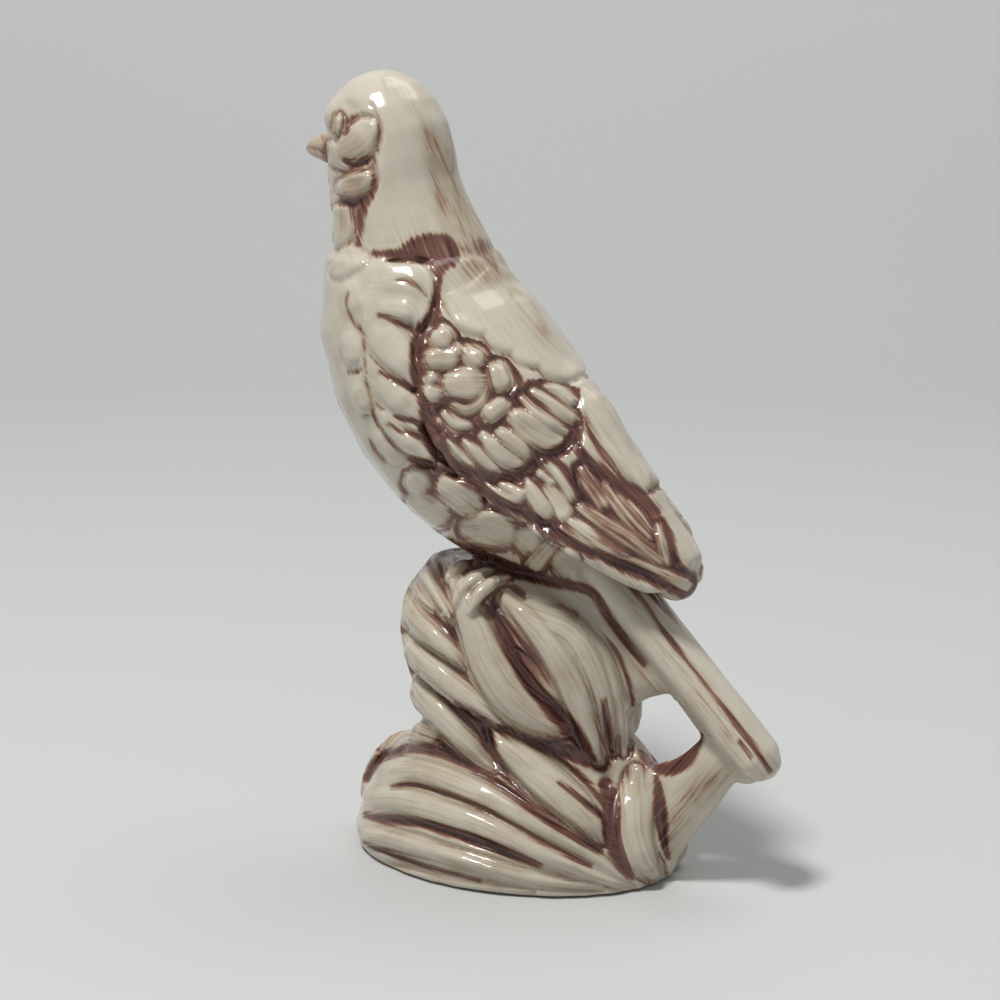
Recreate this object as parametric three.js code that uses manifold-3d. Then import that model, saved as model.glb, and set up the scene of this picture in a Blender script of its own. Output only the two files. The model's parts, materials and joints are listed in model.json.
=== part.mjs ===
import * as THREE from 'three';
import { mergeVertices } from 'three/addons/utils/BufferGeometryUtils.js';
import Module from 'manifold-3d';

// A bird on a leafy stump, in glazed earthenware. Millimetres, +Z up.
// The bird looks towards -X, its left side faces -Y, and x = 0, y = 0 is the middle of the base.

// Clearance between pieces that are luted together
const JOINT_LINE = 0.3;

// Base
const BASE_LENGTH = 88;
const BASE_WIDTH = 65;
const BASE_HEIGHT = 31;
const FOOT_RING_WIDTH = 6;
const FOOT_RECESS = 1.5;
const POUR_HOLE_DIAMETER = 18;
const CASTING_WALL = 5;

// Stump: widest part, and the waist just above the base
const STUMP_HEIGHT = 77;
const STUMP_LENGTH = 56;
const STUMP_WIDTH = 43;
const WAIST_HEIGHT = 34;
const WAIST_LENGTH = 56;
const WAIST_WIDTH = 41;
const WAIST_SHIFT = 3;

// Body: an egg on a leaning axis, its points given as [x, z]
const BODY_DEPTH = 57;
const BODY_WIDTH = 54;
const NECK_DEPTH = 32;
const NECK_WIDTH = 32;
const NECK_POINT = [-34.3, 168];
const SHOULDER_POINT = [-30.6, 150];
const BREAST_POINT = [-27, 134.5];
const BELLY_POINT = [-15.6, 116.5];
const RUMP_POINT = [3, 97.5];
const VENT_POINT = [21, 79];

// Head, with a hood of feathers that stands proud of the face and the shoulders
const HEAD_TOP = 195.2;
const HEAD_LENGTH = 31.4;
const HEAD_WIDTH = 30.4;
const HEAD_POINT = [-36.6, 179];
const HOOD_BOTTOM = 152;
const HOOD_THICKNESS = 0.9;
const EYE_LENGTH = 6;
const EYE_WIDTH = 3.4;
const FACE_SINK = 0.3;
const BEAK_LENGTH = 10.5;
const BEAK_WIDTH = 7;
const BEAK_DEPTH = 9;
const BEAK_HEIGHT = 176.8;

// Wings and mantle: layers let into the body
const LAYER_DEPTH = 3.5;
const WING_PROUD = 1.2;
const MANTLE_PROUD = 0.9;
const FEATHER_LIFT = 1.5;
const FLIGHT_THICKNESS = 6.5;
const FLIGHT_BREADTH = 27;
const WING_TIP_POINT = [47.8, 79];

// Tail
const TAIL_LENGTH = 73;
const TAIL_WIDTH = 17.5;
const TAIL_THICKNESS = 11;
const TAIL_ROOT = [19.5, 83];
const TAIL_SLOPE = 46;

// Strut from the base up to the underside of the tail, and the web above the opening behind the stump
const STRUT_THICKNESS = 12;
const STRUT_BREADTH = 18;
const WEB_THICKNESS = 13;
const WEB_BREADTH = 22;
const WEB_START = 14;
const WEB_HEIGHT = 57;

// Feet
const TOE_LENGTH = 11;
const TOE_WIDTH = 3.4;
const TOE_SPACING = 5;

// Leaves
const LEAF_THICKNESS = 8;
const LEAF_ROUNDNESS = 0.7;

const wasm = await Module();
wasm.setup();

const SIDEWAYS = new THREE.Vector3(0, 1, 0);
const FAR = 200;
const { degToRad, lerp, clamp } = THREE.MathUtils;

/** Smooth reading of rows of [t, value, value, ...] at t. */
function readRows(rows, t) {
  let i = 1;
  while (i < rows.length - 1 && t > rows[i][0]) i += 1;
  const [left, right] = [rows[i - 1], rows[i]];
  const span = right[0] - left[0];
  const u = clamp((t - left[0]) / span, 0, 1);
  const slope = (a, b, k) => (b[k] - a[k]) / (b[0] - a[0]);
  return left.slice(1).map((value, j) => {
    const k = j + 1;
    const before = i > 1 ? slope(rows[i - 2], right, k) : slope(left, right, k);
    const after = i < rows.length - 1 ? slope(left, rows[i + 1], k) : slope(left, right, k);
    const u2 = u * u;
    const u3 = u2 * u;
    const start = (2 * u3 - 3 * u2 + 1) * value + (u3 - 2 * u2 + u) * span * before;
    const end = (3 * u2 - 2 * u3) * right[k] + (u3 - u2) * span * after;
    return start + end;
  });
}

/** Closed skin over rings of equal count, with a point at each end. */
function skin(start, rings, end) {
  const around = rings[0].length;
  const index = [];
  const at = (ring, k) => 1 + ring * around + (k % around);
  const last = 1 + rings.length * around;
  for (let k = 0; k < around; k += 1) {
    index.push(0, at(0, k + 1), at(0, k));
    index.push(last, at(rings.length - 1, k), at(rings.length - 1, k + 1));
    for (let ring = 0; ring < rings.length - 1; ring += 1) {
      index.push(at(ring, k), at(ring, k + 1), at(ring + 1, k + 1));
      index.push(at(ring, k), at(ring + 1, k + 1), at(ring + 1, k));
    }
  }
  const geometry = new THREE.BufferGeometry().setFromPoints([start, ...rings.flat(), end]);
  geometry.setIndex(index);
  return geometry;
}

/** Oval ring round a centre: u and v are the two half axes as vectors. */
function ovalRing(centre, u, v, around) {
  return Array.from({ length: around }, (_, k) => {
    const turn = (2 * Math.PI * k) / around;
    return centre.clone().addScaledVector(u, Math.cos(turn)).addScaledVector(v, Math.sin(turn));
  });
}

/** How far a section has opened at t when each end closes like a ball over its share. */
function opening(t, [first, last]) {
  const fromStart = Math.min(1, t / first);
  const fromEnd = Math.min(1, (1 - t) / last);
  return Math.sqrt(1 - (1 - fromStart) ** 2) * Math.sqrt(1 - (1 - fromEnd) ** 2);
}

/**
 * Oval loft along a curve. rows hold [t, half height, half width] and domes the shares of the
 * length over which the ends close. widthAt gives the direction of the width at t.
 */
function loft({ curve, rows, domes, around, along, grow = 0, widthAt = () => SIDEWAYS }) {
  const rings = Array.from({ length: along }, (_, k) => {
    const t = (1 - Math.cos((Math.PI * (k + 1)) / (along + 1))) / 2;
    const [height, width] = readRows(rows, t);
    const open = opening(t, domes);
    const tangent = curve.getTangentAt(t);
    const side = widthAt(t);
    const v = side.clone().addScaledVector(tangent, -side.dot(tangent)).normalize();
    const u = v.clone().cross(tangent).normalize();
    const centre = curve.getPointAt(t).addScaledVector(tangent, (2 * t - 1) * grow);
    u.multiplyScalar(height * open + grow);
    v.multiplyScalar(width * open + grow);
    return ovalRing(centre, u, v, around);
  });
  const tip = (t, sign) => curve.getPointAt(t).addScaledVector(curve.getTangentAt(t), sign * grow);
  return solid(skin(tip(0, -1), rings, tip(1, 1)));
}

/** Level oval rings at the given heights. rows hold [z, centre x, half length, half width]. */
function stack(rows, levels, around, grow) {
  const rings = levels.map((z) => {
    const [x, length, width] = readRows(rows, z);
    const u = new THREE.Vector3(length + grow, 0, 0);
    const v = new THREE.Vector3(0, width + grow, 0);
    return ovalRing(new THREE.Vector3(x, 0, z), u, v, around);
  });
  const middle = (z) => new THREE.Vector3(readRows(rows, z)[0], 0, z);
  return solid(skin(middle(levels[0]), rings, middle(levels.at(-1))));
}

/** An outline of [x, z] points, grown outwards and drawn out along Y. */
function slice(outline, [yLow, yHigh], grow = 0) {
  const points = outline.map(([x, z]) => new THREE.Vector2(x, z));
  const turn = THREE.ShapeUtils.area(points) < 0 ? -1 : 1;
  const grown = points.map((point, i) => {
    const before = points.at(i - 1);
    const after = points[(i + 1) % points.length];
    const normal = (a, b) => new THREE.Vector2(b.y - a.y, a.x - b.x).normalize().multiplyScalar(turn);
    const mean = normal(before, point).add(normal(point, after));
    const reach = grow / Math.max(0.35, mean.length() / 2);
    return point.clone().addScaledVector(mean.normalize(), reach);
  });
  const depth = yHigh - yLow + 2 * grow;
  const geometry = new THREE.ExtrudeGeometry(new THREE.Shape(grown), { depth, bevelEnabled: false });
  return solid(geometry.rotateX(Math.PI / 2).translate(0, yHigh + grow, 0));
}

/** Geometry to solid. */
function solid(geometry) {
  const bare = geometry.clone();
  bare.deleteAttribute('normal');
  bare.deleteAttribute('uv');
  const merged = mergeVertices(bare, 1e-4);
  const vertProperties = new Float32Array(merged.attributes.position.array);
  const triVerts = new Uint32Array(merged.index.array);
  return new wasm.Manifold(new wasm.Mesh({ numProp: 3, vertProperties, triVerts }));
}

/** Solid to geometry. */
function geometryOf(shape) {
  const { vertProperties, triVerts } = shape.getMesh();
  const geometry = new THREE.BufferGeometry();
  geometry.setAttribute('position', new THREE.BufferAttribute(vertProperties, 3));
  geometry.setIndex(new THREE.BufferAttribute(triVerts, 1));
  geometry.computeVertexNormals();
  return geometry;
}

/** The same solid on the bird's other side. */
function mirrored(shape) {
  const geometry = geometryOf(shape).scale(1, -1, 1);
  const index = geometry.index.array;
  for (let i = 0; i < index.length; i += 3) [index[i], index[i + 1]] = [index[i + 1], index[i]];
  return solid(geometry);
}

/** The largest body of a solid: a cut can leave slivers behind. */
function mainBody(shape) {
  return shape.decompose().reduce((best, one) => (one.volume() > best.volume() ? one : best));
}

const join = (shapes) => shapes.reduce((sum, shape) => sum.add(shape));
const cut = (shape, ...cutters) => cutters.reduce((rest, cutter) => rest.subtract(cutter), shape);

/** A solid's surface, met by rays. */
function surfaceOf(shape) {
  const mesh = new THREE.Mesh(geometryOf(shape));
  return (origin, direction) => {
    const [hit] = new THREE.Raycaster(origin, direction.clone().normalize()).intersectObject(mesh);
    return hit ? { point: hit.point, normal: hit.normal.clone().normalize() } : null;
  };
}

/** A curve on a surface, with the outward normal along it. */
function pathOn(contacts) {
  const curve = new THREE.CatmullRomCurve3(contacts.map((c) => c.point), false, 'centripetal');
  const normals = new THREE.CatmullRomCurve3(contacts.map((c) => c.normal), false, 'centripetal');
  const widthAt = (t) => {
    const normal = normals.getPoint(curve.getUtoTmapping(t)).normalize();
    return curve.getTangentAt(t).cross(normal).normalize();
  };
  return { curve, widthAt };
}

/** A lobe lying on a surface: rows hold shares of its half thickness and half width. */
function lobe(contacts, { width, thickness, rows, domes, around, along, grow = 0 }) {
  const { curve, widthAt } = pathOn(contacts);
  const sized = rows.map(([t, high, wide]) => [t, (high * thickness) / 2, (wide * width) / 2]);
  return loft({ curve, widthAt, rows: sized, domes, around, along, grow });
}

const flat = ([x, z]) => new THREE.Vector3(x, 0, z);
const spine = (...points) => new THREE.CatmullRomCurve3(points.map(flat), false, 'centripetal');

// Stump and base

const STUMP_MIDDLE = (STUMP_HEIGHT + WAIST_HEIGHT) / 2;
const CAVITY_TOP = STUMP_HEIGHT - 4 * CASTING_WALL;

function mound(grow = 0) {
  const l = BASE_LENGTH / 2;
  const w = BASE_WIDTH / 2;
  const rows = [
    [0, 0, l, w],
    [0.15 * BASE_HEIGHT, 0, l, w],
    [0.4 * BASE_HEIGHT, 0, 0.95 * l, 0.95 * w],
    [0.65 * BASE_HEIGHT, 0, 0.86 * l, 0.87 * w],
    [0.9 * BASE_HEIGHT, 0, 0.7 * l, 0.72 * w],
    [BASE_HEIGHT, 0, 0.58 * l, 0.6 * w],
  ];
  const levels = [0, 0.15, 0.35, 0.55, 0.75, 0.9, 1].map((share) => share * BASE_HEIGHT);
  return stack(rows, levels, 32, grow);
}

function stump(grow = 0) {
  const l = STUMP_LENGTH / 2;
  const w = STUMP_WIDTH / 2;
  const rows = [
    [BASE_HEIGHT - CASTING_WALL, WAIST_SHIFT, WAIST_LENGTH / 2, WAIST_WIDTH / 2],
    [WAIST_HEIGHT, WAIST_SHIFT, WAIST_LENGTH / 2, WAIST_WIDTH / 2],
    [STUMP_MIDDLE, -1, l, w],
    [lerp(STUMP_MIDDLE, STUMP_HEIGHT, 0.55), -4, 0.88 * l, 0.9 * w],
    [STUMP_HEIGHT, -8, 0.52 * l, 0.55 * w],
  ];
  const shares = [0, 0.16, 0.32, 0.5, 0.68, 0.84, 0.95, 1];
  const levels = shares.map((share) => lerp(BASE_HEIGHT - CASTING_WALL, STUMP_HEIGHT, share));
  return stack(rows, levels, 26, grow);
}

/** The hollow left by pouring: the base's and the stump's, open below through the pour hole. */
function hollow() {
  const rows = [
    [0, 0, POUR_HOLE_DIAMETER / 2, POUR_HOLE_DIAMETER / 2],
    [FOOT_RECESS + CASTING_WALL, 0, POUR_HOLE_DIAMETER / 2, POUR_HOLE_DIAMETER / 2],
  ];
  const hole = stack(rows, [-1, FOOT_RECESS + CASTING_WALL + 1], 24, 0);
  const inside = (length, width, shift, low, high) => {
    const half = [
      [0, length / 2 - CASTING_WALL, width / 2 - CASTING_WALL],
      [1, length / 2 - CASTING_WALL, width / 2 - CASTING_WALL],
    ];
    const curve = new THREE.LineCurve3(new THREE.Vector3(shift, 0, low), new THREE.Vector3(shift, 0, high));
    return loft({ curve, rows: half, domes: [0.35, 0.5], around: 20, along: 7 });
  };
  const low = FOOT_RECESS + CASTING_WALL;
  const base = inside(0.8 * BASE_LENGTH, 0.8 * BASE_WIDTH, 0, low, BASE_HEIGHT + CASTING_WALL);
  const upper = inside(WAIST_LENGTH, WAIST_WIDTH, WAIST_SHIFT / 2, BASE_HEIGHT / 2, CAVITY_TOP);
  return join([hole, base, upper]);
}

function footRecess() {
  const rows = [
    [0, 0, BASE_LENGTH / 2 - FOOT_RING_WIDTH, BASE_WIDTH / 2 - FOOT_RING_WIDTH],
    [1, 0, BASE_LENGTH / 2 - FOOT_RING_WIDTH, BASE_WIDTH / 2 - FOOT_RING_WIDTH],
  ];
  return stack(rows, [-1, FOOT_RECESS], 32, 0);
}

/** Clay bridge above the opening, from the back of the stump to the tail. */
function web(grow = 0) {
  return loft({
    curve: spine([WEB_START, WEB_HEIGHT + 7], [WEB_START + 16, WEB_HEIGHT - 1], [WEB_START + 31, WEB_HEIGHT - 6.3]),
    rows: [
      [0, 0.5 * WEB_BREADTH, WEB_THICKNESS / 2],
      [0.5, 0.45 * WEB_BREADTH, WEB_THICKNESS / 2],
      [1, 0.2 * WEB_BREADTH, 0.4 * WEB_THICKNESS],
    ],
    domes: [0.1, 0.1],
    around: 12,
    along: 6,
    grow,
  });
}

function strut(grow = 0) {
  const foot = BASE_LENGTH / 2 - 5;
  return loft({
    curve: spine([foot, 1], [foot + 2, 12], [foot + 8, 23], [foot + 14, 30], [foot + 21, 38.5]),
    rows: [
      [0, 0.28 * STRUT_BREADTH, 0.5 * STRUT_THICKNESS],
      [0.3, 0.42 * STRUT_BREADTH, 0.5 * STRUT_THICKNESS],
      [0.55, 0.48 * STRUT_BREADTH, 0.5 * STRUT_THICKNESS],
      [0.78, 0.4 * STRUT_BREADTH, 0.45 * STRUT_THICKNESS],
      [1, 0.4 * STRUT_BREADTH, 0.4 * STRUT_THICKNESS],
    ],
    domes: [0.08, 0.1],
    around: 14,
    along: 8,
    grow,
  });
}

// Body, head and tail

function body(grow = 0) {
  const d = BODY_DEPTH / 2;
  const w = BODY_WIDTH / 2;
  return loft({
    curve: spine(NECK_POINT, SHOULDER_POINT, BREAST_POINT, BELLY_POINT, RUMP_POINT, VENT_POINT),
    rows: [
      [0, NECK_DEPTH / 2, NECK_WIDTH / 2],
      [0.18, 0.75 * d, 0.81 * w],
      [0.35, 0.94 * d, 0.97 * w],
      [0.55, d, w],
      [0.78, 0.87 * d, 0.83 * w],
      [0.93, 0.55 * d, 0.52 * w],
      [1, 0.36 * d, 0.36 * w],
    ],
    domes: [0.02, 0.1],
    around: 24,
    along: 13,
    grow,
  });
}

function headForm(grow = 0) {
  const l = HEAD_LENGTH / 2;
  const w = HEAD_WIDTH / 2;
  return loft({
    curve: spine(
      [HEAD_POINT[0] - 5.2, HEAD_TOP],
      HEAD_POINT,
      [NECK_POINT[0], NECK_POINT[1] - 2],
      [SHOULDER_POINT[0] + 1, HOOD_BOTTOM - 4],
    ),
    rows: [
      [0, l, 0.98 * w],
      [0.35, l, w],
      [0.6, 1.02 * l, 1.02 * w],
      [0.8, 1.16 * l, 1.12 * w],
      [1, 1.35 * l, 1.28 * w],
    ],
    domes: [0.42, 0.02],
    around: 22,
    along: 12,
    grow,
  });
}

/** Everything below the level seam where the head meets the shoulders. */
const belowSeam = (grow = 0) => slice([[-FAR, 0], [FAR, 0], [FAR, HOOD_BOTTOM], [-FAR, HOOD_BOTTOM]], [-FAR, FAR], grow);

// The hood's edge over the brow and down behind the cheek, as [x, z]
const HOOD_EDGE = [
  [-62, 189], [-48, 189.5], [-40, 189.5], [-35.5, 187.5], [-32, 183], [-30, 177], [-31, 171.5], [-32.5, 166],
  [-33, 161], [-31.5, 157], [-27.5, 0],
];

/** The hood of feathers: crown, nape and sides, raised over the face. */
function hood(grow = 0) {
  const behind = HEAD_POINT[0] + 2 * HEAD_LENGTH;
  const rim = [[behind, 0], [behind, HEAD_TOP + 5], [HOOD_EDGE[0][0], HEAD_TOP + 5]];
  return headForm(HOOD_THICKNESS + grow).intersect(slice([...rim, ...HOOD_EDGE], [-FAR, FAR], grow));
}

function head() {
  const lobes = [
    faceLobe(facePoint(-7.4, -7.5), facePoint(3.1, -6), 5, 3.2),
    faceLobe(facePoint(-6.9, -12.5), facePoint(2.1, -11), 6, 3.2),
  ];
  const whole = join([headForm(), hood(), ...lobes, ...lobes.map(mirrored)]);
  return whole.subtract(belowSeam(JOINT_LINE / 2));
}

const ALONG_TAIL = [Math.cos(degToRad(TAIL_SLOPE)), -Math.sin(degToRad(TAIL_SLOPE))];
const tailPoint = (reach) => [TAIL_ROOT[0] + reach * ALONG_TAIL[0], TAIL_ROOT[1] + reach * ALONG_TAIL[1]];

function tail(grow = 0) {
  return loft({
    curve: spine(tailPoint(0), tailPoint(TAIL_LENGTH / 2), tailPoint(TAIL_LENGTH)),
    rows: [
      [0, 0.55 * TAIL_THICKNESS, 0.52 * TAIL_WIDTH],
      [0.5, 0.5 * TAIL_THICKNESS, 0.48 * TAIL_WIDTH],
      [1, 0.46 * TAIL_THICKNESS, 0.5 * TAIL_WIDTH],
    ],
    domes: [0.05, 0.1],
    around: 16,
    along: 10,
    grow,
  });
}

// Wings and mantle

/** The folded flight feathers behind the flank, leaning together like a roof. */
function flightBlade(grow = 0) {
  const [x, z] = WING_TIP_POINT;
  const points = [new THREE.Vector3(8, -16.5, 107), new THREE.Vector3(28.5, -10, 94.5), new THREE.Vector3(x, -3.6, z)];
  const side = new THREE.Vector3(0.2, -0.75, 0.6);
  return loft({
    curve: new THREE.CatmullRomCurve3(points, false, 'centripetal'),
    rows: [
      [0, FLIGHT_BREADTH / 2, FLIGHT_THICKNESS / 2],
      [0.55, 0.52 * FLIGHT_BREADTH, FLIGHT_THICKNESS / 2],
      [0.85, 0.42 * FLIGHT_BREADTH, 0.44 * FLIGHT_THICKNESS],
      [1, 0.28 * FLIGHT_BREADTH, 0.4 * FLIGHT_THICKNESS],
    ],
    domes: [0.1, 0.06],
    around: 16,
    along: 9,
    grow,
    widthAt: () => side,
  });
}

// Outlines on the bird's side, as [x, z]
const MANTLE_EDGE = [[-12.5, 144], [-8, 139], [-2, 136], [1.5, 133], [6, 130], [12, 126.5], [20, 121]];
const SHOULDER_OUTLINE = [
  [-26, 152.5], [-15.5, 152], [-13, 144], [-14, 137], [-15, 127], [-13, 117], [-8.5, 106],
  [-13, 104.5], [-22, 111], [-27, 118], [-29.5, 128], [-29.5, 143],
];
const COVERT_OUTLINE = [
  [-12.5, 144], [-8, 139], [-2, 136], [1.5, 133], [6, 130], [12, 126.5], [21, 120.5], [22, 111],
  [18, 106], [12, 102], [3, 101], [-5, 105], [-11, 113], [-13, 117], [-15, 127], [-14, 137],
];
const FLIGHT_OUTLINE = [
  [21, 120.5], [30, 113], [35, 106], [37.5, 100], [40.5, 94], [45.5, 87.5], [51.5, 79.5], [51, 73], [37, 73], [21, 83.5],
  [11, 91], [3, 97], [-8, 105], [-5, 105], [3, 101], [12, 102], [18, 106], [22, 111],
];

const LEFT = [-FAR, -JOINT_LINE / 2];

/** Feathers of the left wing: from and to as [x, z], then the width. */
const SHOULDER_FEATHERS = [
  [[-26, 148], [-14.5, 147], 9], [[-25.5, 141.5], [-15, 140.5], 8], [[-26, 138], [-15.5, 124], 9.5],
  [[-23.5, 126], [-14.5, 117.5], 7], [[-24, 118], [-11, 108], 8],
];
const ROUND_COVERTS = [
  [-8, 135, 6], [-9.5, 130, 6], [-4.5, 130.5, 6.5], [0.5, 130, 6.5], [-10, 125, 4.5], [-9.5, 120.5, 4.5],
  [-2.5, 123.5, 9], [5, 125.5, 7], [4.5, 118.5, 6.5],
];
const FAN_CENTRE = [-1.5, 120];
const FAN_COUNT = 7;
const FAN_ANGLES = [-142, -14];
const FAN_LENGTHS = [12, 23];
const FAN_START = 0.36;
const FAN_WIDTH = 6;
const SECONDARY_COUNT = 4;
const SECONDARY_LINE = [[4, 100.5], [25, 108]];
const SECONDARY_LENGTH = 13;
const SECONDARY_WIDTH = 7.2;
const PRIMARY_COUNT = 4;
const PRIMARY_LINE = [[13, 92.5], [27, 99]];
const PRIMARY_ENDS = [[35, 82.5], [46, 84.5]];
const PRIMARY_WIDTH = 6.4;
const TERTIAL = [[18, 112.5], [34, 100], 10];

const FEATHER_ROWS = [[0, 0.6, 0.7], [0.5, 1, 1], [1, 0.9, 0.8]];

/** One feather on the wing, from and to as [x, z]. */
function feather(surface, from, to, width) {
  const contacts = [0, 0.5, 1].map((share) => {
    const x = lerp(from[0], to[0], share);
    const z = lerp(from[1], to[1], share);
    return surface(new THREE.Vector3(x, -FAR, z), SIDEWAYS);
  });
  if (contacts.includes(null)) throw new Error(`a feather at ${from} misses the wing`);
  const thickness = 2 * FEATHER_LIFT;
  return lobe(contacts, { width, thickness, rows: FEATHER_ROWS, domes: [0.3, 0.4], around: 6, along: 2 });
}

/** A round scale on the wing. */
function scale(surface, [x, z, diameter]) {
  const half = 0.5 * diameter;
  return feather(surface, [x - 0.5 * half, z + half], [x + 0.5 * half, z - half], diameter);
}

const between = (low, high, count) => Array.from({ length: count }, (_, k) => lerp(low, high, k / (count - 1)));
const onLine = ([a, b], count) =>
  between(0, 1, count).map((share) => [lerp(a[0], b[0], share), lerp(a[1], b[1], share)]);

function covertFan() {
  return between(0, 1, FAN_COUNT).map((share) => {
    const angle = degToRad(lerp(...FAN_ANGLES, share));
    const length = lerp(...FAN_LENGTHS, Math.sin((share * Math.PI) / 2));
    const at = (part) => [
      FAN_CENTRE[0] + part * length * Math.cos(angle),
      FAN_CENTRE[1] + part * length * Math.sin(angle),
    ];
    return [at(FAN_START), at(0.92), FAN_WIDTH];
  });
}

function secondaries() {
  return onLine(SECONDARY_LINE, SECONDARY_COUNT).map(([x, z]) => {
    const to = [x + SECONDARY_LENGTH * 0.62, z - SECONDARY_LENGTH * 0.78];
    return [[x, z], to, SECONDARY_WIDTH];
  });
}

function primaries() {
  const ends = onLine(PRIMARY_ENDS, PRIMARY_COUNT);
  return onLine(PRIMARY_LINE, PRIMARY_COUNT).map((from, k) => [from, ends[k], PRIMARY_WIDTH]);
}

/** A layer of the wing: its outline through the wing's form, with its feathers on it. */
function wingLayer(outline, feathers, scales, cutters) {
  const form = body(WING_PROUD).add(flightBlade());
  const inner = body(-LAYER_DEPTH + JOINT_LINE);
  const window = slice(outline, LEFT, -JOINT_LINE / 2);
  const surface = surfaceOf(form);
  const lobes = [
    ...feathers.map(([from, to, width]) => feather(surface, from, to, width)),
    ...scales.map((one) => scale(surface, one)),
  ];
  const raised = join([form, ...lobes]);
  return cut(raised.intersect(window), inner, ...cutters);
}

/** The mantle's outline: its scalloped edge, closed round the back below the head's seam. */
const mantleOutline = () => [...MANTLE_EDGE, [34, 118], [44, HOOD_BOTTOM], [-15, HOOD_BOTTOM]];

function mantle() {
  const window = slice(mantleOutline(), [-FAR, FAR], -JOINT_LINE / 2);
  return body(MANTLE_PROUD).intersect(window).subtract(body(-LAYER_DEPTH + JOINT_LINE));
}

/** Scales of the breast and flank, each at [x, z, diameter] on the bird's side. */
const FLANK_SCALES = [
  [-15, 100, 9], [-5, 97, 10], [5, 91, 10], [-34, 143, 9], [-33, 131, 9], [-30, 119, 9], [-23, 108, 9],
];

function torso() {
  const whole = body();
  const surface = surfaceOf(whole);
  const left = FLANK_SCALES.map((one) => scale(surface, one));
  const skinned = join([whole, ...left, ...left.map(mirrored)]);
  const wings = [SHOULDER_OUTLINE, COVERT_OUTLINE, FLIGHT_OUTLINE].map((o) => slice(o, LEFT, JOINT_LINE / 2));
  const pockets = [slice(mantleOutline(), [-FAR, FAR], JOINT_LINE / 2), ...wings, ...wings.map(mirrored)];
  const neckline = [[-FAR, HOOD_BOTTOM], [FAR, HOOD_BOTTOM], [FAR, FAR], [-FAR, FAR]];
  const aboveSeam = slice(neckline, [-FAR, FAR], JOINT_LINE / 2);
  return cut(skinned, ...pockets).add(body(-LAYER_DEPTH)).subtract(aboveSeam);
}

// Face

/** A point of the face as [x, z], behind and above the middle of the head. */
const facePoint = (behind, above) => [HEAD_POINT[0] + behind, HEAD_POINT[1] + above];

/** A lobe on the left of the head between two [x, z] points, its middle line just under the surface. */
function faceLobe(from, to, width, thickness, grow = 0) {
  const surface = surfaceOf(headForm());
  const contacts = [0, 0.5, 1].map((share) => {
    const origin = new THREE.Vector3(lerp(from[0], to[0], share), -FAR, lerp(from[1], to[1], share));
    const contact = surface(origin, SIDEWAYS);
    contact.point.addScaledVector(contact.normal, -FACE_SINK);
    return contact;
  });
  const rows = [[0, 0.8, 0.8], [0.5, 1, 1], [1, 0.8, 0.8]];
  return lobe(contacts, { width, thickness, rows, domes: [0.45, 0.45], around: 10, along: 5, grow });
}

const eye = (grow = 0) => faceLobe(facePoint(-4.9, 8), facePoint(-6.4, 8 - EYE_LENGTH), EYE_WIDTH, 3.2, grow);

const cheek = () => faceLobe(facePoint(-9.9, -2.5), facePoint(3.1, 3), 9, 4);

const BEAK_ROOT = HEAD_POINT[0] - HEAD_LENGTH / 2 + 2.2;
const BEAK_TIP = BEAK_ROOT - BEAK_LENGTH;

/** Both halves of the beak: a short cone whose root lies in the face. */
function beak() {
  return loft({
    curve: spine(
      [BEAK_ROOT + 3, BEAK_HEIGHT],
      [(BEAK_ROOT + BEAK_TIP) / 2, BEAK_HEIGHT + 0.2],
      [BEAK_TIP, BEAK_HEIGHT - 0.6],
    ),
    rows: [
      [0, 0.5 * BEAK_DEPTH, 0.5 * BEAK_WIDTH],
      [0.45, 0.48 * BEAK_DEPTH, 0.48 * BEAK_WIDTH],
      [0.75, 0.31 * BEAK_DEPTH, 0.32 * BEAK_WIDTH],
      [1, 0.1 * BEAK_DEPTH, 0.12 * BEAK_WIDTH],
    ],
    domes: [0.05, 0.12],
    around: 14,
    along: 9,
  });
}

/** Everything below the line of the mouth. */
function belowMouth(grow) {
  const mouth = [
    [BEAK_TIP - 2, BEAK_HEIGHT - 0.6],
    [BEAK_TIP + 4.5, BEAK_HEIGHT - 0.1],
    [BEAK_ROOT + 4, BEAK_HEIGHT - 2],
  ];
  const under = BEAK_HEIGHT - 2 * BEAK_DEPTH;
  return slice([...mouth, [BEAK_ROOT + 4, under], [BEAK_TIP - 2, under]], [-FAR, FAR], grow);
}

// Leaves and feet

const core = join([mound(), stump()]);
const coreSurface = surfaceOf(core);

/** Where a level line from outside, at an angle round the stump, meets the core. */
function onCore([angle, height]) {
  const turn = degToRad(angle);
  const out = new THREE.Vector3(Math.cos(turn), Math.sin(turn), 0);
  const contact = coreSurface(out.clone().multiplyScalar(FAR).setZ(height), out.clone().negate());
  if (!contact) throw new Error(`a leaf at ${angle}, ${height} misses the stump`);
  return contact;
}

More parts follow.
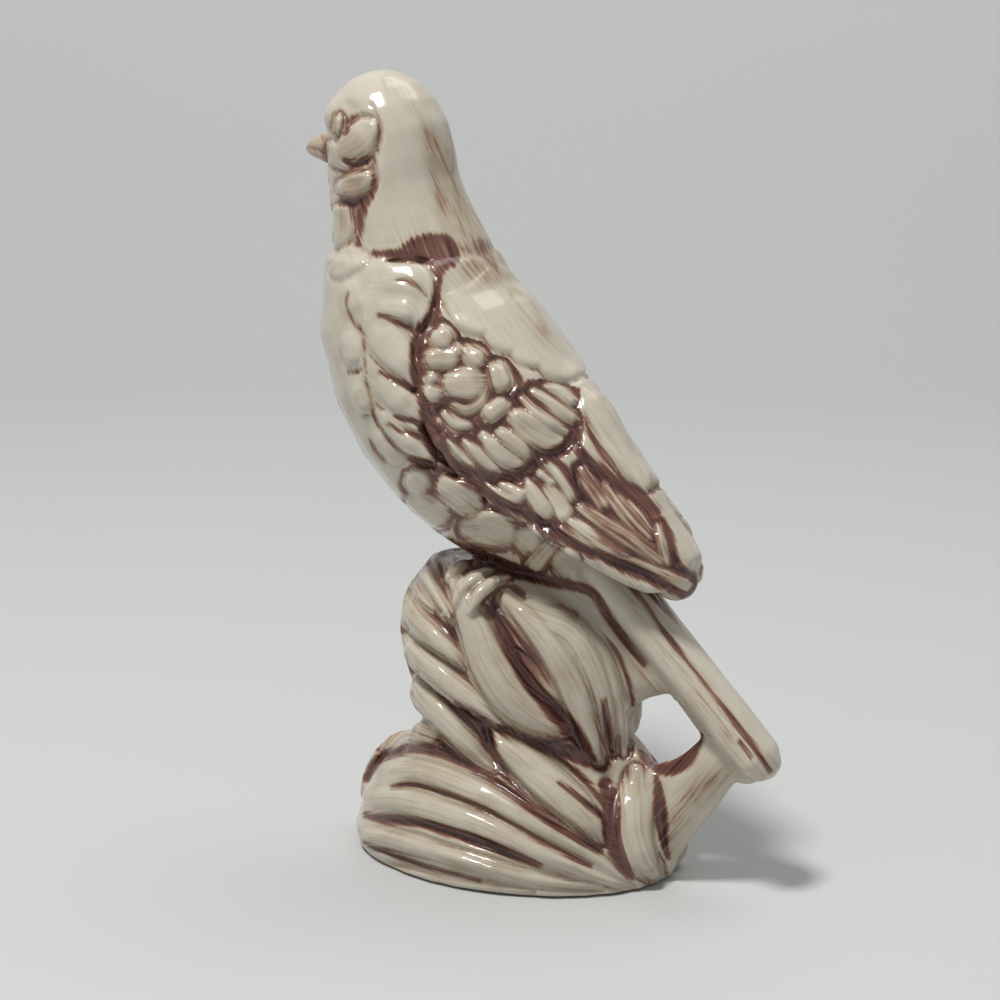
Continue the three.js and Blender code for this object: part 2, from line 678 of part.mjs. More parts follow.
// Each leaf of the left side: its line as [degrees round the stump, height], its width, and the share of that
// width at its root
const LEAVES = {
  leaf_under_foot: {
    line: [[-134, 74], [-109, 70], [-92, 63], [-82, 56], [-66, 48], [-46, 42], [-34, 39]], width: 13, root: 0.6,
  },
  arching_leaf: { line: [[-76, 70], [-53, 66], [-39, 58], [-30, 48], [-23, 37], [-20, 30]], width: 12, root: 0.6 },
  arching_leaf_outer: { line: [[-48, 70], [-24, 63], [-13, 52], [-9, 42], [-9, 32]], width: 12, root: 0.6 },
  inner_leaf: { line: [[-64, 58], [-55, 54], [-46, 49], [-38, 45]], width: 5, root: 0.4 },
  front_blade_5: { line: [[-176, 70], [180, 58], [178, 46], [180, 34]], width: 14, root: 0.6 },
  front_blade_1: { line: [[-166, 73], [-137, 71], [-120, 67], [-109, 63]], width: 8, root: 0.7 },
  front_blade_2: { line: [[-160, 64], [-145, 63], [-127, 60], [-111, 57], [-99, 53]], width: 9.5, root: 0.7 },
  front_blade_3: { line: [[-160, 54], [-141, 53], [-116, 49], [-96, 45], [-75, 40]], width: 11, root: 0.7 },
  front_blade_4: { line: [[-160, 43], [-143, 42], [-121, 39], [-102, 35], [-84, 31]], width: 11, root: 0.7 },
  centre_leaf: { line: [[-84, 38], [-70, 34], [-55, 30], [-41, 25], [-32, 19], [-28, 14]], width: 13.5, root: 0.3 },
  upright_leaf: { line: [[-10, 2], [-14, 8], [-14, 15], [-10, 21], [-2, 27]], width: 9.5, root: 0.7 },
  base_leaf_breast: { line: [[180, 27], [180, 18], [180, 9], [180, 3]], width: 13, root: 0.5 },
  base_leaf_front: { line: [[-122, 31], [-146, 32], [-166, 30]], width: 9, root: 0.4 },
  base_leaf_upper: {
    line: [[-162, 20], [-148, 22], [-130, 25], [-103, 25], [-77, 23], [-56, 19], [-41, 14], [-32, 9]],
    width: 9.6,
    root: 0.8,
  },
  base_leaf_middle: {
    line: [[-163, 13], [-148, 15], [-129, 18], [-103, 18], [-80, 17], [-61, 13], [-45, 10], [-34, 6]],
    width: 9.2,
    root: 0.8,
  },
  base_leaf_lower: { line: [[-160, 6], [-142, 7], [-122, 9], [-99, 9], [-79, 8], [-60, 5]], width: 8.4, root: 0.7 },
};

// Leaves of the far side, mirrored from these
const FAR_LEAVES = {
  far_long_leaf: 'leaf_under_foot',
  far_arching_leaf: 'arching_leaf',
  far_arching_leaf_outer: 'arching_leaf_outer',
  far_inner_leaf: 'inner_leaf',
  far_blade_1: 'front_blade_2',
  far_blade_2: 'front_blade_3',
  far_blade_3: 'front_blade_4',
  far_blade_4: 'front_blade_1',
  far_centre_leaf: 'centre_leaf',
  far_upright_leaf: 'upright_leaf',
  far_base_leaf_front: 'base_leaf_front',
  far_base_leaf_upper: 'base_leaf_upper',
  far_base_leaf_middle: 'base_leaf_middle',
  far_base_leaf_lower: 'base_leaf_lower',
};

const farLeaf = ({ line, ...rest }) => ({ line: line.map(([angle, height]) => [-angle, height]), ...rest });

function leaf({ line, width, root }, grow = 0) {
  const rows = [
    [0, 0.7, root],
    [0.3, 1, 0.5 * (1 + root)],
    [0.55, 1, 1],
    [0.85, 0.85, 0.6],
    [1, 0.6, 0.16],
  ];
  const thickness = Math.min(LEAF_THICKNESS, LEAF_ROUNDNESS * width);
  return lobe(line.map(onCore), {
    width, thickness, rows, domes: [0.14, 0.1], around: 8, along: 2 + line.length, grow,
  });
}

/** Toe over the leaf under the foot, number k from the front. */
function toe(k) {
  const slip = k * TOE_SPACING;
  const contacts = [0, 0.5, 1].map((share) => {
    const angle = lerp(-96 + slip, -118 + 1.3 * slip, share);
    const contact = onCore([angle, lerp(74, 74 - TOE_LENGTH, share)]);
    contact.point.addScaledVector(contact.normal, 0.5 * LEAF_THICKNESS);
    return contact;
  });
  const rows = [[0, 1, 1], [1, 0.8, 0.9]];
  return lobe(contacts, { width: TOE_WIDTH, thickness: TOE_WIDTH, rows, domes: [0.2, 0.25], around: 6, along: 3 });
}

const foot = () => join([0, 1, 2].map(toe));

// Assembly

const GLAZE = { roughness: 0.18, metalness: 0 };
const IVORY = { ...GLAZE, color: '#e8dfce' };
const CREAM = { ...GLAZE, color: '#ded0b8' };
const TAN = { ...GLAZE, color: '#b08e78' };
const UMBER = { ...GLAZE, color: '#6b4238' };

const bird = new THREE.Group();

function add(name, shape, finish) {
  const mesh = new THREE.Mesh(geometryOf(mainBody(shape)), new THREE.MeshStandardMaterial(finish));
  mesh.name = name;
  bird.add(mesh);
}

/** Adds a piece of the bird's left side and its mirror image on the right. */
function addPair(name, shape, finish) {
  add(`left_${name}`, shape, finish);
  add(`right_${name}`, mirrored(shape), finish);
}

const bodyCut = body(JOINT_LINE);
const headCut = headForm(HOOD_THICKNESS + JOINT_LINE);
const tailCut = tail(JOINT_LINE);

add('base_mound', cut(mound(), hollow(), footRecess()), CREAM);
add('stump', cut(join([stump(), web()]), mound(JOINT_LINE), bodyCut, hollow(), tailCut), CREAM);
add('tail_strut', cut(strut(), mound(JOINT_LINE), tailCut), CREAM);

const seats = [mound(JOINT_LINE), stump(JOINT_LINE), web(JOINT_LINE), strut(JOINT_LINE), bodyCut, tailCut];
const laid = [];
const top = slice([[-FAR, 0], [FAR, 0], [FAR, FAR], [-FAR, FAR]], [-FAR, FAR]);
const far = Object.entries(FAR_LEAVES).map(([name, source]) => [name, farLeaf(LEAVES[source])]);
for (const [name, shape] of [...Object.entries(LEAVES), ...far]) {
  add(name, cut(leaf(shape), ...seats, ...laid).intersect(top), IVORY);
  laid.push(leaf(shape, JOINT_LINE));
}
addPair('foot', cut(foot(), ...laid, bodyCut), CREAM);

add('torso', torso(), IVORY);
add('head', head(), IVORY);
add('mantle', cut(mantle(), headCut), IVORY);
addPair('wing_shoulder', wingLayer(SHOULDER_OUTLINE, SHOULDER_FEATHERS, [], [headCut]), IVORY);
addPair('wing_coverts', wingLayer(COVERT_OUTLINE, covertFan(), ROUND_COVERTS, []), CREAM);
addPair('wing_flight', wingLayer(FLIGHT_OUTLINE, [...secondaries(), ...primaries(), TERTIAL], [], [tailCut]), IVORY);
addPair('eye', cut(eye(), headForm(JOINT_LINE), hood(JOINT_LINE)), CREAM);
addPair('cheek', cut(cheek(), headForm(JOINT_LINE), hood(JOINT_LINE), eye(JOINT_LINE)), IVORY);
add('upper_beak', cut(beak(), headForm(JOINT_LINE), belowMouth(JOINT_LINE / 2)), TAN);
add('lower_beak', cut(beak().intersect(belowMouth(-JOINT_LINE / 2)), headForm(JOINT_LINE)), UMBER);
add('tail', cut(tail(), bodyCut), IVORY);

// The part's origin is the middle of its box, at the bottom. Its two sides match, so nothing moves along Y
const box = new THREE.Box3().setFromObject(bird);
bird.position.set(-box.getCenter(new THREE.Vector3()).x, 0, -box.min.z);

const figure = new THREE.Group();
figure.add(bird);

export default figure;
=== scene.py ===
"""Bird figurine: the glazed surface of one slip casting, laid over the CAD solids.

The solids are joined into one volume, the raised feathers and leaves are drawn on it as strokes, and the
surface is cut back into one closed piece for each solid.
"""

import json
import math
from functools import partial

import bpy
import numpy as np
import openvdb
from mathutils import Matrix, Vector


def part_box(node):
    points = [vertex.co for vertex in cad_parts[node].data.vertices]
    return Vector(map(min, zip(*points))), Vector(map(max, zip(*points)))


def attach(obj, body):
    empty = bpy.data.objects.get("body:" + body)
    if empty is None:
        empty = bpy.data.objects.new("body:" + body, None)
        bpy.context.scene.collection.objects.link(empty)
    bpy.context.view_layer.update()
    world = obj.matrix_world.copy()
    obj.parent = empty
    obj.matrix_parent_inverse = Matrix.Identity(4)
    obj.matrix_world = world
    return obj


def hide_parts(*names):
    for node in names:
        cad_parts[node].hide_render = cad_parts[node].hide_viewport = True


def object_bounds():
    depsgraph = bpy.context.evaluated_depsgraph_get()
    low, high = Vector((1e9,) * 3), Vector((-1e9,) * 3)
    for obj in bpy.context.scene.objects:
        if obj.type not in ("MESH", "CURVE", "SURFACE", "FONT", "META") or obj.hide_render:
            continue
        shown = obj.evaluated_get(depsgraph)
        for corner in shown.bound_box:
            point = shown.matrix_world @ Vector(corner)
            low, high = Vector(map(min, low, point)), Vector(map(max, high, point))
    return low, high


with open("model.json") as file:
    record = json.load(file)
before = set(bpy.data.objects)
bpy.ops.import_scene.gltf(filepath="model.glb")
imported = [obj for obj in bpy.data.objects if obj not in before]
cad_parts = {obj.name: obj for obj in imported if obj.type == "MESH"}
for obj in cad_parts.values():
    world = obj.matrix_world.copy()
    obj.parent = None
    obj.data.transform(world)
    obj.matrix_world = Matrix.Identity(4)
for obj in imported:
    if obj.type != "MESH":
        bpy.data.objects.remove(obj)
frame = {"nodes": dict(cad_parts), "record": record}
cad_low, cad_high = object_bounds()

# Volume. Lengths are in millimetres
VOXEL = 0.4
BAND = 5.0
BLENDED_BAND = 0.9 * BAND
SEAM_BLEND = 0.9
FILLET_BLEND = 2.5
MANTLE_BLEND = 3.5
CREVICE_WIDTH = 1.7
CREVICE_LEVEL = 0.3
CLAY_SOFTNESS = 0.8
LEAF_SOFTNESS = 1.7
MOST_SOFTENED = 0.7
GLAZE_SOFTNESS = 0.3
POOLS = ((0.7, 0.1), (1.3, 0.4))
DEEPEST_CUT = 1.7
RELIEF_REACH = 2.6
BOX_CLEARANCE = 0.1
SHELL = 1.4
WALL_ROUNDS = 5
WALL_SHARE = 0.6
BLUR_SIGMAS = 2.3
SMALLEST_PIECE_FACES = 60

# The photograph's camera. Lengths are in millimetres from the middle of the base, sizes in pixels
PHOTO_SIZE = 1000
CAMERA_AZIMUTH = 28.0
CAMERA_PITCH = 12.6
CAMERA_RANGE = 670.0
FOCAL_LENGTH = 2590.0
BASE_SEEN_AT = (517, 850)
PIXELS_PER_MM = 3.95
SENSOR = 36.0
CLIP_START = 0.05
MM = 0.001

# How squarely a surface faces the view where the drawing starts to show, and where it shows fully
GRAZING = (0.02, 0.25)
HEAD_GRAZING = (0.08, 0.4)
STAIN_GRAZING = (-0.1, 0.08)
# The same for the view from the front: the start, and the width of the step
FRONT_GRAZING, FRONT_STEP = 0.4, 0.3

# How the drawing turns into relief and stain. Lengths are in pixels
FORM_GROWTH = 1.2
DOT_LENGTH = 0.01
STAIN_SOFTNESS = 6.0
DITCH_STAIN_SPREAD = 0.3
CUT_STAIN_SPREAD = 0.6
CUT_SPREAD = 1.0
NARROWEST_CUT = 1.5
CUT_ON_FORM = 0.6
WASH_SPREAD = 1.5
BRUSH_MARGIN = 2
EDGE_SHADE = (0.3, 6.0)
UNREACHED = 99
STREAK_SHIFT = (7, 3)

# Stain in the recesses: the drawn share, then how much comes between which hollownesses in millimetres. The
# deep share is deeper stain and painted shade
DRAWN_STAIN = 0.82
CREASE_SIZE = 0.9
HOLLOW_STAIN = (0.45, 0.1, 0.35)
# Deeper stain and painted shade in the deepest hollows
DEEP_STAIN_AND_SHADE = (0.2, 0.3, 0.4)
RIDGE_BARED = (0.1, 0.2)
BEAK_STAIN = 0.12

# Strokes drawn on the photograph: (x, y, width) in pixels along each raised form
HEAD_FORMS = {
    "eye": [(339, 119, 9), (338, 129, 9)],
    "cheek": [(346, 150, 20), (357, 142, 34), (366, 131, 26)],
    "lore": [(333, 148, 14), (336, 158, 16), (345, 166, 8)],
    "chin": [(344, 187, 16), (356, 184, 22), (368, 179, 14)],
    "throat": [(341, 214, 20), (343, 228, 22), (341, 240, 16)],
}
CHEST_FORMS = {
    "chest": [(338, 270, 20), (350, 260, 28)],
    "curl": [(362, 259, 13)],
}
SHOULDER_FORMS = {
    "cap": [(392, 272, 24), (410, 271, 26), (424, 283, 22), (431, 299, 8)],
    "second": [(378, 298, 34), (402, 300, 42), (416, 308, 32), (419, 325, 6)],
    "third": [(372, 325, 24), (390, 345, 38), (403, 365, 26), (413, 386, 5)],
    "fourth": [(374, 378, 16), (392, 394, 32), (410, 408, 24), (422, 420, 6)],
    "fifth": [(388, 412, 5), (402, 421, 8), (418, 430, 4)],
    "sixth": [(384, 420, 8), (402, 440, 20), (420, 452, 16), (433, 460, 4)],
}
BREAST_FORMS = {
    "upper_panel": [(351, 340, 16), (351, 356, 16)],
    "middle_panel": [(354, 386, 16), (362, 402, 18)],
    "lower_panel": [(385, 440, 14), (397, 458, 14)],
}
ROUND_COVERTS = {
    "crown": [(442, 338, 27)],
    "left": [(434, 359, 23), (448, 358, 23)],
    "bridge": [(457, 350, 16)],
    "right": [(469, 352, 18), (475, 357, 24)],
    "outer_upper": [(432, 378, 16)],
    "outer_lower": [(429, 393, 18), (434, 394, 18)],
    "centre": [(456, 384, 30), (470, 384, 36)],
    "crescent": [(453, 405, 6), (466, 410, 12), (480, 402, 12), (487, 388, 6)],
    "far_upper": [(498, 371, 22), (501, 381, 24)],
    "far_lower": [(491, 413, 20), (501, 406, 18)],
    "bead": [(436, 424, 12)],
    "bean": [(445, 414, 8), (455, 424, 14), (466, 426, 10)],
}
LONG_COVERTS = {
    "fan_1": [(545, 385, 3), (560, 391, 12), (572, 401, 10)],
    "fan_2": [(533, 391, 5), (550, 402, 12), (566, 414, 15), (572, 418, 12)],
    "fan_3": [(522, 397, 4), (537, 413, 10), (555, 426, 12), (568, 432, 7)],
    "fan_4": [(518, 418, 20), (532, 430, 28), (548, 440, 22), (560, 441, 12)],
    "fan_5": [(502, 434, 14), (515, 444, 18), (526, 454, 12)],
    "fan_6": [(483, 436, 9), (496, 450, 20), (512, 461, 16), (520, 463, 10)],
    "fan_7": [(465, 442, 6), (476, 453, 12), (489, 466, 10), (499, 470, 4)],
    "fan_8": [(448, 441, 3), (457, 452, 8), (468, 463, 6), (474, 466, 3)],
}
SECONDARIES = {
    "edge": [(487, 484, 4), (500, 494, 8), (515, 502, 8)],
    "first": [(500, 483, 6), (510, 490, 14), (518, 495, 16)],
    "second": [(528, 482, 8), (535, 495, 18), (545, 510, 20)],
    "third": [(548, 487, 8), (557, 500, 16), (563, 512, 18)],
    "long": [(543, 461, 6), (556, 474, 9), (567, 490, 9), (571, 498, 7)],
    "short": [(541, 474, 8), (551, 483, 8)],
}
PRIMARIES = {
    "first": [(571, 522, 10), (588, 534, 16), (608, 547, 14), (628, 556, 6)],
    "second": [(582, 508, 10), (605, 524, 18), (635, 542, 20), (660, 560, 12)],
    "third": [(582, 470, 8), (592, 485, 20), (603, 502, 16)],
    "fourth": [(606, 486, 8), (614, 500, 16), (632, 520, 16), (650, 537, 8)],
    "fifth": [(628, 502, 3), (640, 516, 7), (650, 530, 5)],
    "sixth": [(658, 525, 4), (662, 545, 12), (667, 562, 8)],
    "lower": [(560, 528, 4), (575, 538, 8), (592, 549, 5)],
    "tip": [(603, 553, 3), (632, 560, 8), (660, 572, 10), (684, 584, 14)],
}
TERTIALS = {
    "long": [(592, 402, 16), (604, 419, 30), (619, 441, 38), (634, 464, 32), (646, 483, 16)],
}
MANTLE_FORMS = {
    "first": [(467, 280, 60), (482, 303, 66)],
    "second": [(506, 296, 62), (512, 324, 60)],
    "third": [(525, 315, 60), (537, 338, 60)],
    "fourth": [(549, 341, 52), (563, 356, 52)],
}
FLANK_FORMS = {
    "round": [(417, 482, 27)],
    "upper": [(448, 487, 26), (462, 497, 34), (470, 503, 26)],
    "upper_tip": [(474, 490, 12)],
    "front": [(418, 505, 26), (436, 515, 28)],
    "middle": [(470, 528, 22), (487, 528, 38), (503, 532, 30)],
    "rear_round": [(528, 540, 28)],
    "rear": [(536, 564, 20), (548, 550, 16)],
    "last_round": [(566, 563, 28)],
}
TOES = {
    "inner": [(449, 580, 8), (456, 570, 11), (464, 564, 9)],
    "middle": [(457, 604, 8), (462, 590, 12), (475, 578, 13), (492, 568, 9)],
    "outer": [(470, 612, 8), (478, 596, 12), (492, 584, 12), (508, 576, 6)],
}
STUMP_LEAVES = {
    "under_foot": [(446, 558, 8), (462, 600, 26), (476, 632, 38), (488, 662, 44), (512, 696, 48),
                   (545, 722, 32), (570, 732, 8)],
    "arch_inner": [(506, 598, 18), (530, 622, 30), (555, 655, 34), (575, 695, 34), (592, 740, 22),
                   (600, 760, 10)],
    "small": [(518, 655, 4), (530, 670, 11), (545, 688, 10), (561, 703, 4)],
    "strand_1": [(422, 570, 14), (432, 590, 16), (445, 610, 14), (453, 624, 4)],
    "strand_2": [(412, 580, 14), (420, 597, 12), (432, 609, 6)],
    "strand_3": [(402, 600, 24), (415, 620, 26), (432, 636, 26), (450, 652, 18), (464, 668, 5)],
    "strand_4": [(405, 640, 12), (420, 660, 24), (445, 680, 26), (470, 700, 22), (495, 720, 10),
                 (505, 730, 4)],
    "strand_5": [(412, 680, 12), (425, 700, 24), (445, 722, 28), (465, 742, 24), (485, 762, 12),
                 (494, 768, 4)],
    "strand_6": [(424, 710, 4), (438, 728, 8), (455, 745, 10), (475, 762, 8), (485, 768, 3)],
    "centre": [(488, 731, 5), (505, 748, 24), (530, 768, 40), (560, 792, 44), (588, 818, 34),
               (603, 838, 10)],
}
STUMP_STRANDS = {
    "arch_outer": [(530, 612, 26), (572, 632, 30), (597, 675, 28), (608, 715, 20), (613, 750, 10)],
    "arch_edge": [(580, 626, 16), (604, 655, 18), (618, 692, 18), (624, 722, 14), (625, 752, 8)],
}
BASE_LEAVES = {
    "rear_lobe": [(385, 745, 14), (405, 728, 34), (428, 735, 26)],
    "upright": [(636, 772, 16), (637, 800, 38), (637, 830, 40), (644, 858, 34), (655, 875, 18)],
}
BASE_STRANDS = {
    "first": [(372, 780, 20), (400, 770, 28), (430, 772, 30), (460, 785, 30), (490, 797, 28), (530, 820, 24),
              (570, 843, 20), (602, 863, 12), (625, 880, 4)],
    "second": [(358, 806, 22), (385, 800, 28), (415, 804, 30), (440, 812, 30), (480, 826, 28),
               (520, 845, 24), (560, 862, 20), (600, 878, 12), (630, 888, 4)],
    "third": [(350, 840, 16), (378, 838, 20), (408, 845, 22), (440, 855, 20), (480, 866, 18), (520, 877, 16),
              (560, 884, 10), (600, 888, 4)],
    "fourth": [(362, 866, 12), (400, 874, 14), (440, 883, 12), (480, 889, 10), (530, 893, 5)],
}
# Brown pools and cut lines
HEAD_CREASES = {
    "brow": [(346, 123, 4), (352, 119, 5), (362, 116, 4), (371, 118, 3)],
    "hood": [(371, 104, 2), (377, 118, 4), (380, 132, 5), (378, 145, 5), (374, 158, 5), (373, 172, 6)],
}
BEAK_LINES = {
    "mouth": [(308, 148, 1), (318, 150, 1), (326, 156, 2)],
    "nostril": [(323, 138, 4), (327, 144, 4)],
}
HEAD_GROOVES = {
    "eye_corner": [(346, 122, 3), (346, 132, 4)],
    "throat": [(374, 176, 4), (374, 188, 6), (368, 199, 9), (362, 210, 9), (360, 228, 7), (359, 244, 4)],
    "under_chin": [(342, 202, 6), (356, 203, 9), (368, 198, 9)],
    "under_cheek": [(345, 160, 2), (354, 165, 3), (364, 162, 7), (370, 158, 5)],
}
NECK_GROOVES = {
    "pool": [(400, 255, 12), (416, 250, 22), (432, 248, 28), (444, 250, 28), (450, 254, 20)],
    "front": [(374, 253, 5), (386, 254, 7), (402, 254, 9)],
    "hem": [(392, 260, 5), (408, 260, 8), (424, 261, 8), (440, 262, 12), (452, 264, 6)],
    "shoulder": [(442, 262, 16), (438, 280, 7), (436, 296, 7), (436, 310, 12), (432, 325, 12)],
}
WING_GROOVES = {
    "front": [(434, 316, 12), (422, 332, 16), (416, 350, 12), (416, 370, 11), (418, 389, 8), (423, 403, 10),
              (427, 417, 12), (436, 434, 18)],
    "under_second": [(379, 316, 2), (391, 319, 4), (405, 326, 5), (414, 332, 6)],
    "under_third": [(380, 372, 2), (392, 379, 5), (405, 385, 6), (414, 391, 6)],
    "under_fourth": [(396, 416, 2), (406, 420, 4), (416, 421, 4), (424, 424, 4)],
    "under_fifth": [(388, 424, 2), (400, 431, 4), (414, 434, 5), (426, 440, 6)],
    "band": [(424, 424, 10), (430, 440, 14), (445, 458, 14), (465, 470, 10), (490, 478, 8), (516, 475, 9),
             (540, 460, 12), (562, 450, 12), (575, 436, 12)],
    "behind_fan": [(580, 425, 8), (578, 445, 10), (590, 462, 12), (615, 482, 14), (640, 498, 16),
                   (655, 512, 12)],
}
BODY_GROOVES = {
    "under_wing": [(410, 457, 4), (430, 465, 8), (455, 476, 8), (480, 490, 9), (500, 503, 10),
                   (525, 515, 10), (548, 528, 12), (575, 545, 10), (600, 556, 10), (635, 572, 12),
                   (658, 583, 9), (672, 592, 4)],
    "belly": [(432, 536, 5), (455, 548, 12), (480, 556, 12), (505, 567, 13), (535, 577, 10), (560, 583, 10),
              (590, 592, 9), (606, 613, 8), (626, 641, 5), (645, 664, 2)],
}
BREAST_GROOVES = {
    "side": [(348, 293, 1), (346, 307, 2), (355, 324, 3), (363, 336, 3), (364, 356, 3), (366, 380, 2),
             (371, 402, 3), (376, 421, 3), (387, 438, 3), (402, 452, 4), (420, 462, 5)],
    "mark": [(350, 372, 3), (357, 372, 5), (362, 370, 3)],
    "spur": [(364, 416, 2), (374, 414, 2)],
    "under_cap": [(397, 281, 2), (408, 282, 4), (418, 288, 4), (426, 296, 2)],
    "low": [(370, 440, 2), (377, 452, 4), (386, 462, 3)],
}
LEAF_GROOVES = {
    "valley": [(492, 605, 6), (505, 635, 14), (520, 665, 16), (545, 702, 16), (570, 728, 18),
               (583, 750, 16)],
    "fork": [(455, 704, 5), (474, 716, 12), (486, 730, 12), (493, 752, 9), (505, 775, 8)],
    "cross": [(500, 728, 8), (520, 736, 9), (545, 746, 12), (570, 752, 18), (588, 760, 14)],
    "spine": [(462, 762, 6), (480, 773, 8), (500, 784, 8), (520, 799, 8), (545, 818, 8), (570, 835, 7),
              (600, 850, 8)],
    "upright": [(606, 784, 14), (610, 800, 18), (611, 820, 18), (612, 842, 16), (621, 862, 12),
                (632, 878, 5)],
    "rear": [(366, 778, 8), (375, 762, 9), (395, 752, 8), (420, 749, 9), (445, 754, 9), (460, 762, 7)],
    "strand_1": [(392, 787, 3), (410, 785, 4), (435, 790, 4), (460, 798, 3), (490, 812, 3), (515, 825, 2),
                 (540, 840, 4), (560, 850, 4), (590, 865, 4)],
    "strand_2": [(366, 815, 4), (385, 820, 8), (420, 823, 8), (450, 832, 10), (480, 842, 12), (510, 853, 9),
                 (540, 866, 3)],
    "strand_3": [(365, 843, 2), (380, 850, 4), (400, 858, 4), (430, 868, 3), (460, 875, 2), (480, 881, 2)],
    "centre": [(560, 783, 3), (580, 799, 5), (600, 814, 6), (608, 822, 5)],
    "arch": [(604, 700, 3), (608, 730, 6), (613, 758, 6)],
    "sliver": [(656, 775, 3), (659, 798, 10), (661, 820, 12), (664, 842, 5), (668, 858, 2)],
    "hole_lip": [(638, 738, 4), (645, 756, 9), (662, 769, 13), (682, 763, 15), (696, 746, 10),
                 (702, 733, 3)],
}
TAIL_GROOVES = {
    "main": [(622, 572, 4), (645, 603, 3), (665, 632, 3), (690, 665, 3), (710, 690, 3), (728, 712, 3),
             (745, 735, 4), (760, 755, 4), (770, 771, 2)],
    "upper": [(640, 580, 3), (660, 605, 3), (680, 625, 2), (693, 640, 2)],
    "edge": [(655, 590, 3), (672, 612, 2)],
    "lower": [(740, 742, 2), (752, 758, 2)],
}
# Areas where the brush left tan streaks
BRUSHED = {
    "back": [(496, 272, 30), (525, 305, 36), (560, 350, 30)],
    "hood_rim": [(368, 244, 18), (400, 240, 22), (440, 232, 22), (480, 240, 34)],
    "mantle": [(492, 262, 30), (530, 300, 30), (565, 345, 24)],
    "tail": [(610, 570, 20), (660, 640, 34), (720, 720, 40), (770, 775, 40)],
    "base_right": [(640, 880, 20), (670, 850, 20), (690, 820, 20)],
}
STREAKED = {
    "throat": [(340, 240, 16), (360, 246, 16)],
    "tertial": [(588, 425, 14), (606, 452, 20), (630, 478, 18)],
    "tail_root": [(600, 566, 16), (640, 590, 20)],
    "under_tail": [(600, 610, 10), (640, 670, 26), (655, 690, 20)],
    "strut": [(668, 850, 30), (685, 800, 40), (725, 770, 30)],
    "rear_lobe": [(380, 750, 20), (405, 728, 40), (440, 742, 30)],
    "front_strands": [(418, 590, 30), (410, 620, 16)],
    "arch_foot": [(600, 720, 40), (612, 750, 30)],
}
DEEPLY_STREAKED = {
    "nape_hem": [(458, 250, 14), (476, 247, 34), (494, 258, 30)],
    "primaries": [(585, 480, 36), (620, 530, 60), (670, 570, 44)],
}
# Areas where a thin wash darkens the glaze
FLESHY = {
    "nape": [(420, 112, 16), (436, 150, 40), (452, 190, 56), (470, 225, 76), (488, 255, 76)],
    "face": [(342, 125, 40), (352, 150, 44), (352, 190, 40), (346, 225, 30)],
}
# Areas of the crown, coverts, flank and stump darkened a little all over
DARKENED_AREAS = {
    "crown": [(385, 80, 24), (410, 100, 24), (428, 130, 20)],
    "coverts": [(455, 360, 80), (480, 410, 90), (540, 430, 80)],
    "flank": [(430, 490, 60), (480, 525, 60), (550, 560, 40)],
    "stump": [(500, 610, 60), (540, 680, 80), (560, 740, 60)],
}

# Front of the figurine, which the photograph doesn't show: (distance from the middle, height, width) in
# millimetres
FRONT_FACE = {
    "upper_tuft": [(0, 171, 7), (4.5, 170.5, 7)],
    "lower_tuft": [(0, 165.5, 8), (5.5, 165, 8)],
    "throat": [(0, 158, 9), (4, 156.5, 8)],
}
FRONT_STUMP = {
    "middle": [(0, 74, 6), (0, 62, 13), (0, 48, 13), (0, 35, 5)],
    "first": [(6, 73, 4), (11, 69, 7), (17, 65, 6)],
    "second": [(8, 64, 5), (14, 62, 8), (20, 60, 7)],
    "third": [(8, 54, 6), (14, 53, 9), (21, 51, 8)],
    "fourth": [(8, 44, 6), (14, 42, 9), (21, 40, 8)],
}
FRONT_BASE = {
    "middle": [(0, 28, 5), (0, 18, 12), (0, 8, 10), (0, 3, 4)],
    "lobe": [(6, 30, 5), (14, 32, 8), (21, 31, 7)],
    "first": [(8, 20, 6), (18, 22, 9), (27, 24, 9)],
    "second": [(8, 12, 6), (18, 15, 9), (28, 17, 9)],
    "third": [(8, 5, 4), (19, 6, 7), (30, 8, 7)],
}
# Clay that fills the back between the wings, the crotch under the tail, the corners of the opening behind
# the stump and the tail's lower edge: (x, y, z, radius) in millimetres
FILLETS = {
    "back": [(12, 0, 120, 6.5), (18, 0, 114.5, 7.5), (24.5, 0, 103, 8), (31.8, 0, 92.2, 7.5),
             (38.5, 0, 83.2, 6.5), (43.4, 0, 77.4, 5.8)],
    "crotch": [(10, 0, 74, 5), (18, 0, 73.5, 6), (25, 0, 71, 5.5)],
    "opening_floor": [(29, 0, 30.5, 4.5), (32.4, 0, 28.6, 4.2), (37.9, 0, 25.6, 4), (45.8, 0, 26.5, 4)],
    "opening_roof": [(28.5, 0, 42, 2.5), (30.5, 0, 46.5, 4), (36.5, 0, 51.5, 4)],
    "tail_edge": [(35.5, 0, 62, 3), (39.6, 0, 57.6, 3.5), (51.9, 0, 43.2, 3.5), (63, 0, 31, 3)],
}
# The same on both sides, here as on the left: the wall at the front of the stump's foot, the brow, and under
# the hood's hem
SIDE_FILLETS = {
    "front_foot": [(-25.2, 0, 29.8, 2), (-24.6, 5, 29.8, 2), (-22.8, 9, 29.8, 1.9)],
    "brow": [(-45.2, -7, 185.5, 4.5), (-45.8, -4.5, 186, 4.7), (-46.2, 0, 186.3, 4.9)],
    "hem": [(-31, -15.6, 151.8, 1.6), (-27.5, -14.2, 151.3, 2), (-24.5, -11.8, 151.2, 2.4),
            (-20, -10.5, 151.2, 2.4)],
}
# Rows of scales on the breast, in millimetres
BREAST_HEIGHTS = (148, 82)
BREAST_HALF_WIDTH = 20
BREAST_SCALE = 11
BREAST_ROW = 8
SCALE_RISE = 2
SCALE_WIDTHS = (0.95 * BREAST_SCALE, 1.05 * BREAST_SCALE)


# Volume

